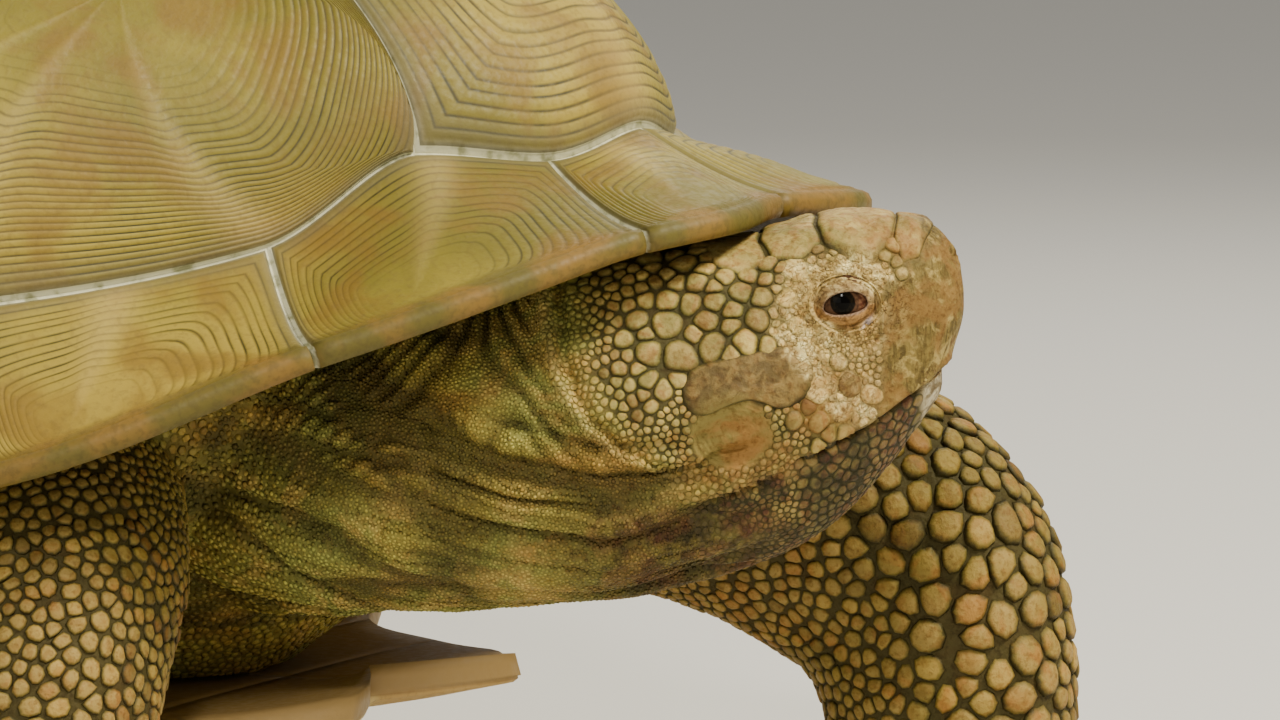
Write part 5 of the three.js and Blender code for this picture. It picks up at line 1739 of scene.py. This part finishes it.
def outlined_scale(name, outline, hit, out, height, tone, seed):
    """One broad scale inside an outline, laid on the skin where hit() finds it and raised along out."""
    loop = np.array(outline + outline[:1], float)
    at = np.linspace(0, len(outline), OUTLINED_SIDES + 1)[:-1]
    line = np.stack([np.interp(at, np.arange(len(loop)), loop[:, k]) for k in (0, 1)], 1)
    for _ in range(4):
        line = (np.roll(line, 1, 0) + 2 * line + np.roll(line, -1, 0)) / 4
    centre = line.mean(0)
    inset = 1 + 0.45 / np.linalg.norm(line - centre, axis=1).mean()
    hub = hit(*centre)
    points = np.array([hit(*(centre + share * inset * (place - centre))) for share, _ in OUTLINED_ROWS
                       for place in line] + [hub, hub])
    rows = [(min(2.5 * (1 - share), 1) if up > 0 else 0, up * height) for share, up in OUTLINED_ROWS]
    rise, lift = np.concatenate([np.repeat(rows, OUTLINED_SIDES, 0), [[1, height * 1.2], [0, -0.6]]]).T
    wear = (0.45 * noise(points, 6.5, seed + 2) + 0.22 * noise(points, 2.8, seed)
            + 0.12 * noise(points, 1.3, seed + 1))
    points = points + smooth_normal(points) * (lift + wear * (lift > 0))[:, None]
    starts = [row * OUTLINED_SIDES for row in range(len(OUTLINED_ROWS))]
    top = len(points) - 2
    faces = tube(starts, OUTLINED_SIDES) + fan(starts[-1], OUTLINED_SIDES, top) \
        + fan(0, OUTLINED_SIDES, top + 1, turned=True)
    turn = np.arange(len(points)) % OUTLINED_SIDES / OUTLINED_SIDES * 2 * math.pi
    make_piece(name, points, facing(faces, points, top, out), SCALE,
               values={**markings(points), "tone": np.full(len(points), tone), "rise": rise},
               bake=unwrap(hub[None])[0] + PATCH * np.stack([np.cos(turn), np.sin(turn)], 1))


def build_outlined_scales():
    outlined_scale("frontal", FRONTAL, top_hit, UP, 1.5, 0.25, 51)
    for side_name, side in SIDES:
        for k, (name, outline) in enumerate(CROWN_OUTLINES.items()):
            if side > 0:
                outline = [(forward, -left) for forward, left in outline][::-1]
            outlined_scale(f"{name}_{side_name}", outline, top_hit, UP, 1.3, (-0.15, -0.1, 0.15)[k], 60 + k)
        outlined_scale(f"over_ear_{side_name}", BEAN,
                       lambda forward, z, side=side: side_hit(forward, z, side),
                       HEAD_LEFT * side, 1.15, -0.45, 70)


def free_of_outlines(p):
    """Where the head has room for scales: off its bare skin, its outlined scales and its mouth's line."""
    forward, left, z = head_place(p)
    bean = (inside_outline(forward, z, BEAN) > -OUTLINE_GAP) & (np.abs(left) > EAR_SIDE)
    crown = inside_outline(forward, left, FRONTAL) > -OUTLINE_GAP
    for outline in CROWN_OUTLINES.values():
        crown |= inside_outline(forward, -np.abs(left), outline) > -OUTLINE_GAP
    lips = (np.abs(z - mouth_height(forward)) < LIP_GAP) & (forward > LIP_REAR)
    return (bare_skin(p) < 0.35) & ~bean & ~(crown & (z > CROWN_LOW)) & ~lips


def build_head_coat():
    places = [(side_hit(forward, z, side), size) for forward, z, size in BROAD for side in (1, -1)]
    places += [(top_hit(forward, left), size) for forward, left, size in CROWN]
    places = [(place, size) for place, size in places if place is not None]
    fixed, sizes = (np.array(column) for column in zip(*places))
    roots = scatter(on_head, head_scale_size, 6.0, 101, clear=free_of_outlines,
                    fixed=(fixed, smooth_normal(fixed), sizes))
    mark, size = markings(roots[0]), roots[2]
    height = np.clip(0.2 * size, 0.35, 1.1) * (1 - 0.65 * np.maximum(mark["cream"], mark["dark"]))
    profile = [(1.0, -0.35), (0.93, 0.25), (0.80, 0.65), (0.62, 0.92), (0.34, 1.05)]
    grow_two_sorts([("scales_face", profile, 20, 1, 1),
                    ("scales_temple", [(1.0, -0.35), (0.82, 0.6), (0.42, 1.0)], 9, 1, 1)],
                   roots, size < 3.2, 0.05 + 0.018 * size, height, lie=-HEAD_FORWARD, slot="head_skin",
                   project=True, seed=5, spread=0.9, round_off=0.16, rugged=0.2)


# ---- the neck's, legs', tail's and trunk's scales --------------------------------------------
# how near to the neck's middle line its scales are, counting heights for less, and where it ends
NECK_COAT = {"reach": 64, "height_share": 0.85, "bottom": 92, "rear": 118, "middle": -30, "half": 75}
TRUNK_TOP, SOLE_CLEAR = 205, 1.0        # heights between which the trunk and the legs have scales


def on_neck(p):
    forward, _, z = head_place(p)
    behind = forward - along(NAPE_FOLD, z) <= HEAD_COAT_BACK
    close = np.full(len(p), np.inf)
    for row in spline(head_stations(), np.linspace(30, SPINE_WAY[-1], 60)):
        away = np.linalg.norm((p - row[:3]) * [1, 1, NECK_COAT["height_share"]], axis=1)
        close = np.minimum(close, away)
    return (behind & (close < NECK_COAT["reach"]) & (z > NECK_COAT["bottom"]) & (p[:, 0] > NECK_COAT["rear"])
            & (np.abs(p[:, 1] - NECK_COAT["middle"]) < NECK_COAT["half"]))


def neck_scale_size(p):
    return 1.2 + 1.1 * smoothstep(235 - p[:, 0], 0, 70)


def build_neck_coat():
    roots = scatter(on_neck, neck_scale_size, 4.5, 102, cell=2.2)
    size = roots[2]
    grow_scales("scales_neck", roots, [(1.0, -0.2)], np.full(len(size), 0.02), 0.26 * size, -HEAD_FORWARD, 6,
                pieces=4, seed=6)


def body_scale_size(p):
    """Grains round the shoulders, larger down the legs, largest on the forelegs' fronts."""
    far, front, number, share, _ = leg_place(p)
    fore, near_side = number < 2, number == 1
    base = np.where(fore, 2.7 + 2.3 * smoothstep(share, 0.22, 0.5), 4.4 + 1.6 * smoothstep(share, 0.3, 0.6))
    large = np.where(near_side, 9.5, np.where(fore, 9.2, 8.0))
    facing_front = np.where(near_side, smoothstep(front, 0.45, 0.95) * smoothstep(share, 0.5, 0.75),
                            np.where(fore, smoothstep(front, -0.2, 0.6) * smoothstep(share, 0.2, 0.45),
                                     smoothstep(front, 0.2, 0.8) * smoothstep(share, 0.3, 0.55)))
    size = lerp(base, large, facing_front) * (1 + 0.3 * noise(p, 14, 41) * facing_front)
    size = np.where(p[:, 2] < 14, np.minimum(size, 6.0), size)
    trunk = np.where(p[:, 0] > 0, 2.7, 4.2)
    return trunk + (size - trunk) * smoothstep(-far, -66, -58) * smoothstep(share, 0.02, 0.2)


def on_body(p):
    return ~on_neck(p) & ~on_head(p) & (p[:, 2] <= TRUNK_TOP) & (p[:, 2] > SOLE_CLEAR)


def build_body_coat():
    roots = scatter(on_body, body_scale_size, 5.0, 103)
    size = roots[2]
    grow_two_sorts([("scales_legs", [(1.0, -0.3), (0.86, 0.5), (0.58, 0.95)], 10, 1, 4),
                    ("grains_body", [(1.0, -0.3), (0.66, 0.9)], 6, 0.5, 3)],
                   roots, size < 3.6, 0.1 + 0.02 * size, np.clip(0.2 * size, 0.5, 1.9), lie=-UP, seed=8,
                   tilt=0.07, point=0.05, spread=0.86)


# ---- eyes and their lids ---------------------------------------------------------------------
OPENING = {"forward": 0.9, "wide": 6.7, "back_z": -1.9, "front_z": -0.4, "above": 4.5, "below": 2.5}
LID_SIDES = 112
LID_ROWS = [0, 0.03, 0.08, 0.15, 0.23, 0.31, 0.39, 0.47, 0.54, 0.60, 0.66, 0.72, 0.78, 0.84, 0.89, 0.94, 1.0]
# the lower and the upper lid: how far it swells and over what share of its width, how deep its
# groove is and where, how high the ridge beyond is, where and how wide
LID_FOLDS = [(0.95, 0.66, 0.7, 0.68, 0.2, 0.83, 0.08), (0.3, 0.5, 0.6, 0.57, 0.3, 0.75, 0.1)]
LID_BACK = [(0.8, -2.6), (0.4, -2.2), (0.1, -1.4)]      # the side on the ball: share of the width, drop


def lid_places(turn):
    """The opening between the lids, and the lids' outer border, ahead of and above the ball's middle."""
    c, s = np.cos(turn), np.sin(turn)
    middle = lerp(OPENING["back_z"], OPENING["front_z"], (c + 1) / 2)
    tall = np.where(s > 0, OPENING["above"], OPENING["below"])
    opening = np.stack([OPENING["forward"] + OPENING["wide"] * c,
                        middle + np.sign(s) * np.abs(s) ** 0.9 * tall], -1)
    border = np.stack([LIDS["forward"] + (LIDS["wide"] + 1.3) * c,
                       LIDS["z"] - BALL["z"] + (LIDS["tall"] + 1.2) * s], -1)
    return opening, border


def over_ball(place, radius):
    """How far out from the head's middle a ball of a radius reaches at a place over the eye."""
    return BALL["out"] + np.sqrt(np.maximum(radius**2 - np.sum(place**2, -1), 0.3))


def build_lids(side_name, side):
    """Both lids as one closed ring of skin, from their margin over the ball to the face and back behind."""
    turn = ring_angles(LID_SIDES)
    opening, border = lid_places(turn)
    is_upper = smoothstep(np.sin(turn), -0.1, 0.1)
    wander = 0.09 * noise(np.stack([3 * np.cos(turn), 3 * np.sin(turn), 0 * turn], -1), 1.3, 85)
    found = [side_hit(place[0], BALL["z"] + place[1], side) for place in border]
    rim = np.array([BALL["out"] if place is None else abs(head_place(place)[1]) for place in found])
    for _ in range(4):
        rim = (np.roll(rim, 1) + 2 * rim + np.roll(rim, -1)) / 4

    def at(share, out):
        place = lerp(opening, border, share)
        return head_point(place[:, 0], side * out, BALL["z"] + place[:, 1])

    rows, shown = [], {"lid": [], "upper": [], "margin": []}
    for share in LID_ROWS:
        place = lerp(opening, border, share)
        full = smoothstep(share, 0.0, 0.09)
        out = lerp(over_ball(place, BALL["radius"] + 0.15), over_ball(place, LIDS["radius"]),
                   0.35 * (share > 0) + 0.65 * full)
        # each lid bulges over the ball, with a groove and a low ridge beyond it
        bent = share + wander
        folds = [swell * math.sin(math.pi * min(share / end, 1)) - deep * bell(bent - groove, 0.06)
                 + high * bell(bent - ridge, wide)
                 for swell, end, deep, groove, high, ridge, wide in LID_FOLDS]
        out = out + lerp(*folds, is_upper)
        out = out - 0.7 * bell(np.sin(turn), 0.13) * (1 - smoothstep(share, 0.5, 0.9)) * full
        out = lerp(out, rim + 0.15 + 0.3 * is_upper, smoothstep(share, 0.4, 0.93))
        out = out - 1.6 * smoothstep(share, 0.93, 1.0)
        rows.append(at(share, out))
        ragged = share + 0.2 * noise(rows[-1], 3.0, 84)
        shown["lid"].append((1 - is_upper) * (1 - smoothstep(ragged, 0.5, 0.85)) * 0.9)
        shown["upper"].append(is_upper * (1 - smoothstep(ragged, 0.4, 0.95)))
        shown["margin"].append(np.full(LID_SIDES, 0.8 * (1 - smoothstep(share, 0.04, 0.12))))
    for share, drop in LID_BACK:
        out = over_ball(lerp(opening, border, share), LIDS["radius"]) + drop
        rows.append(at(share, lerp(out, np.maximum(rim - 3.5, out), smoothstep(share, 0.4, 0.93))))
        for column in shown.values():
            column.append(np.zeros(LID_SIDES))
    points = np.concatenate(rows)
    shares = np.repeat(LID_ROWS + [0.5] * len(LID_BACK), LID_SIDES)
    fold = 0.3 * noise(points, 1.4, 81) + 0.45 * noise(points, 3.6, 83) \
        + 0.26 * np.sin(30 * shares + 3.4 * noise(points, 5, 82))
    fold = fold * (1 + 1.3 * smoothstep(shares, 0.5, 0.8))
    points = points + side * HEAD_LEFT * (fold * smoothstep(shares, 0.05, 0.2))[:, None]
    starts = [row * LID_SIDES for row in range(len(rows))]
    faces = tube(starts + starts[:1], LID_SIDES, turned=True)
    forward, _, z = head_place(points)
    # a painted highlight: a pale wet sheen on the lower lid ahead of the eye
    streak = bell(forward - 7.6 - 0.35 * (z - 199), 1.1) * bell(z - 199, 2.6) * smoothstep(shares, 0.5, 0.7)
    values = {**markings(points), "bare": np.ones(len(points)), "lined": np.ones(len(points)),
              "streak": 0.7 * streak, **{key: np.concatenate(column) for key, column in shown.items()}}
    make_piece(f"lids_{side_name}", points, flipped(faces) if side < 0 else faces, SKIN,
               values=values)


def eye_material():
    """A dark wet iris round a black pupil, and the dull flesh about it."""
    material, g = new_material("eye")
    gaze = g.value("gaze")
    iris = g.pair(g.noise(0.0006, detail=3), 0.35, 0.65, (9, 7, 4), (22, 17, 8))
    colour = g.mix(g.span(gaze, 1.9, 2.4), srgb(4, 3, 2), iris)
    flesh = g.pair(g.noise(0.0015), 0.4, 0.6, (50, 32, 20), (80, 56, 38))
    colour = g.mix(g.span(gaze, 3.7, 4.2), colour, flesh)
    corner = g.pair(g.noise(0.0012), 0.4, 0.6, (74, 40, 26), (112, 78, 54))
    colour = g.mix(g.value("corner"), colour, corner)
    g.set(colour, g.span(gaze, 3.2, 5.0, 0.05, 0.3), 0.06)
    return material


EYE_SURFACE = eye_material()
EYE_RINGS, EYE_SIDES = 44, 64


def build_eye(side_name, side):
    """A ball whose rings run round the line of sight, with the cornea standing a little proud."""
    tilt = np.linspace(0.02, math.pi - 0.02, EYE_RINGS)
    turn = ring_angles(EYE_SIDES)
    gaze = BALL["radius"] * tilt
    radius = BALL["radius"] + 0.45 * bell(gaze, 3.0)
    ahead, up = ((radius * np.sin(tilt))[:, None] * wave for wave in (np.cos(turn), np.sin(turn)))
    out = np.broadcast_to((radius * np.cos(tilt))[:, None], ahead.shape)
    points, faces = closed_tube(head_point(ahead, side * (BALL["out"] + out), BALL["z"] + up))
    everywhere = np.concatenate([np.repeat(gaze, EYE_SIDES), [0, math.pi * BALL["radius"]]])
    make_piece(f"eyeball_{side_name}", points, flipped(faces) if side < 0 else faces, EYE_SURFACE,
               [f"eye_{side_name}"],
               {"gaze": everywhere, "corner": smoothstep(head_place(points)[0], 4.6, 5.8)})


# ---- claws -----------------------------------------------------------------------------------
CLAW = {"start": 30.0, "length": 31.0, "z": 11.0, "radius": 8.2, "rings": 14, "sides": 20}


def claw_material():
    """Horn streaked along the claw, paler at its tip."""
    material, g = new_material("claw")
    streak = g.noise(0.004, detail=4, stretch=(1, 1, 3))
    colour = g.pair(streak, 0.35, 0.65, (92, 76, 52), (164, 142, 104))
    colour = g.mix(g.span(g.value("tip"), 0.55, 1.0), colour, srgb(178, 160, 124))
    g.set(colour, g.span(streak, 0.3, 0.7, 0.35, 0.55), 0.5, Normal=g.bump(streak, 0.0006, 0.6))
    return material


CLAW_HORN = claw_material()


def build_claws(leg_name, plan):
    """Blunt nails, flatter below, that bend down towards the floor."""
    foot = plan["sections"][-1]
    angle = ring_angles(CLAW["sides"])
    flat = np.where(np.sin(angle) > 0, 0.86, 0.66)
    shares = [row / (CLAW["rings"] - 1) for row in range(CLAW["rings"])]
    parts = []
    for away, across in toe_ways(plan):
        rings = []
        for t in shares:
            radius = CLAW["radius"] * (1 - t**2.6) ** 0.62 + 0.25
            middle = np.array([foot[0], foot[1], CLAW["z"] - (t + 4.6 * t * t)])
            rings.append(middle + away * (CLAW["start"] + CLAW["length"] * t)
                         + (radius * 0.92 * np.cos(angle))[:, None] * across
                         + (flat * radius * np.sin(angle))[:, None] * UP)
        parts.append(closed_tube(np.array(rings)))
    points, faces = joined(parts)
    points += 0.18 * noise(points, 3.0, 91)[:, None] * UP
    points[:, 2] = np.maximum(points[:, 2], FLOOR_GAP)
    tips = np.tile(np.concatenate([np.repeat(shares, CLAW["sides"]), [0.0, 1.0]]), len(parts))
    make_piece(f"claws_{leg_name}", points, faces, CLAW_HORN, values={"tip": tips})


for side_title, side_sign in SIDES:
    build_lids(side_title, side_sign)
    build_eye(side_title, side_sign)
for leg_title, leg_plan in LEGS.items():
    build_claws(leg_title, leg_plan)
build_head_coat()
build_outlined_scales()
build_neck_coat()
build_body_coat()


# ---- floor, lights and camera ----------------------------------------------------------------
CAMERA_AZIMUTH, CAMERA_RISE = math.radians(28), math.radians(6)
CAMERA_DISTANCE = 2000.0
LENS, SENSOR = 181.4, 36.0
AIM = {"right": -62.9, "up": -18.0}             # the middle of the view, from the near eye
NEAR_EYE = (0, -33, 206)                        # on the head
# from where round the camera's bearing and how high, in degrees, distance and size in metres, watts, colour
LIGHTS = {
    "key": (66, 48, 2.6, 0.55, 112, (1.0, 0.95, 0.80)),
    "fill": (-25, 8, 3.0, 1.8, 17, (1.0, 0.98, 0.90)),
    "back": (165, 40, 2.6, 1.2, 22, (1.0, 0.97, 0.90)),
    "catch": (0, 34, 2.6, 0.34, 30, (1.0, 0.98, 0.92)),
}
LIGHTS_AIM = (0.1, 0.0, 0.2)
FLOOR_HALF = 6.0
WORLD_COLOUR, WORLD_STRENGTH = (1.0, 0.98, 0.94, 1.0), 0.4


def add_object(name, data):
    made = bpy.data.objects.new(name, data)
    bpy.context.scene.collection.objects.link(made)
    return made


def way_from(bearing, rise):
    """The way to a place at a bearing, 0 on the animal's right and 90 degrees ahead of it, and a height."""
    return np.array([math.sin(bearing) * math.cos(rise), -math.cos(bearing) * math.cos(rise), math.sin(rise)])


def build_camera():
    back = way_from(CAMERA_AZIMUTH, CAMERA_RISE)
    right = np.array([math.cos(CAMERA_AZIMUTH), math.sin(CAMERA_AZIMUTH), 0.0])
    aim = head_point(*NEAR_EYE) + AIM["right"] * right + AIM["up"] * np.cross(back, right)
    camera = add_object("camera", bpy.data.cameras.new("camera"))
    camera.data.lens = LENS
    camera.data.sensor_width = SENSOR
    camera.location = (aim + CAMERA_DISTANCE * back + SHIFT) * MM
    camera.rotation_euler = Vector(back).to_track_quat("Z", "Y").to_euler()
    bpy.context.scene.camera = camera


def add_light(name, bearing, rise, distance, size, watts, colour):
    """A square soft light, from a bearing turned from the camera's own."""
    light = bpy.data.lights.new(name, "AREA")
    light.shape = "SQUARE"
    light.size = size
    light.energy = watts
    light.color = colour
    lamp = add_object(name, light)
    way = Vector(way_from(CAMERA_AZIMUTH + math.radians(bearing), math.radians(rise)))
    lamp.location = Vector(LIGHTS_AIM) + way * distance
    lamp.rotation_euler = way.to_track_quat("Z", "Y").to_euler()


def build_stage():
    material, g = new_material("floor")
    g.set(srgb(214, 211, 203), 0.85)
    mesh = bpy.data.meshes.new("floor")
    corners = [(x * FLOOR_HALF, y * FLOOR_HALF, 0) for x, y in ((-1, -1), (1, -1), (1, 1), (-1, 1))]
    mesh.from_pydata(corners, [], [(0, 1, 2, 3)])
    mesh.materials.append(material)
    add_object("floor", mesh)
    world = bpy.data.worlds.new("studio")
    world.use_nodes = True
    background = world.node_tree.nodes["Background"]
    background.inputs["Color"].default_value = WORLD_COLOUR
    background.inputs["Strength"].default_value = WORLD_STRENGTH
    bpy.context.scene.world = world
    for name, plan in LIGHTS.items():
        add_light(name, *plan)


build_camera()
build_stage()
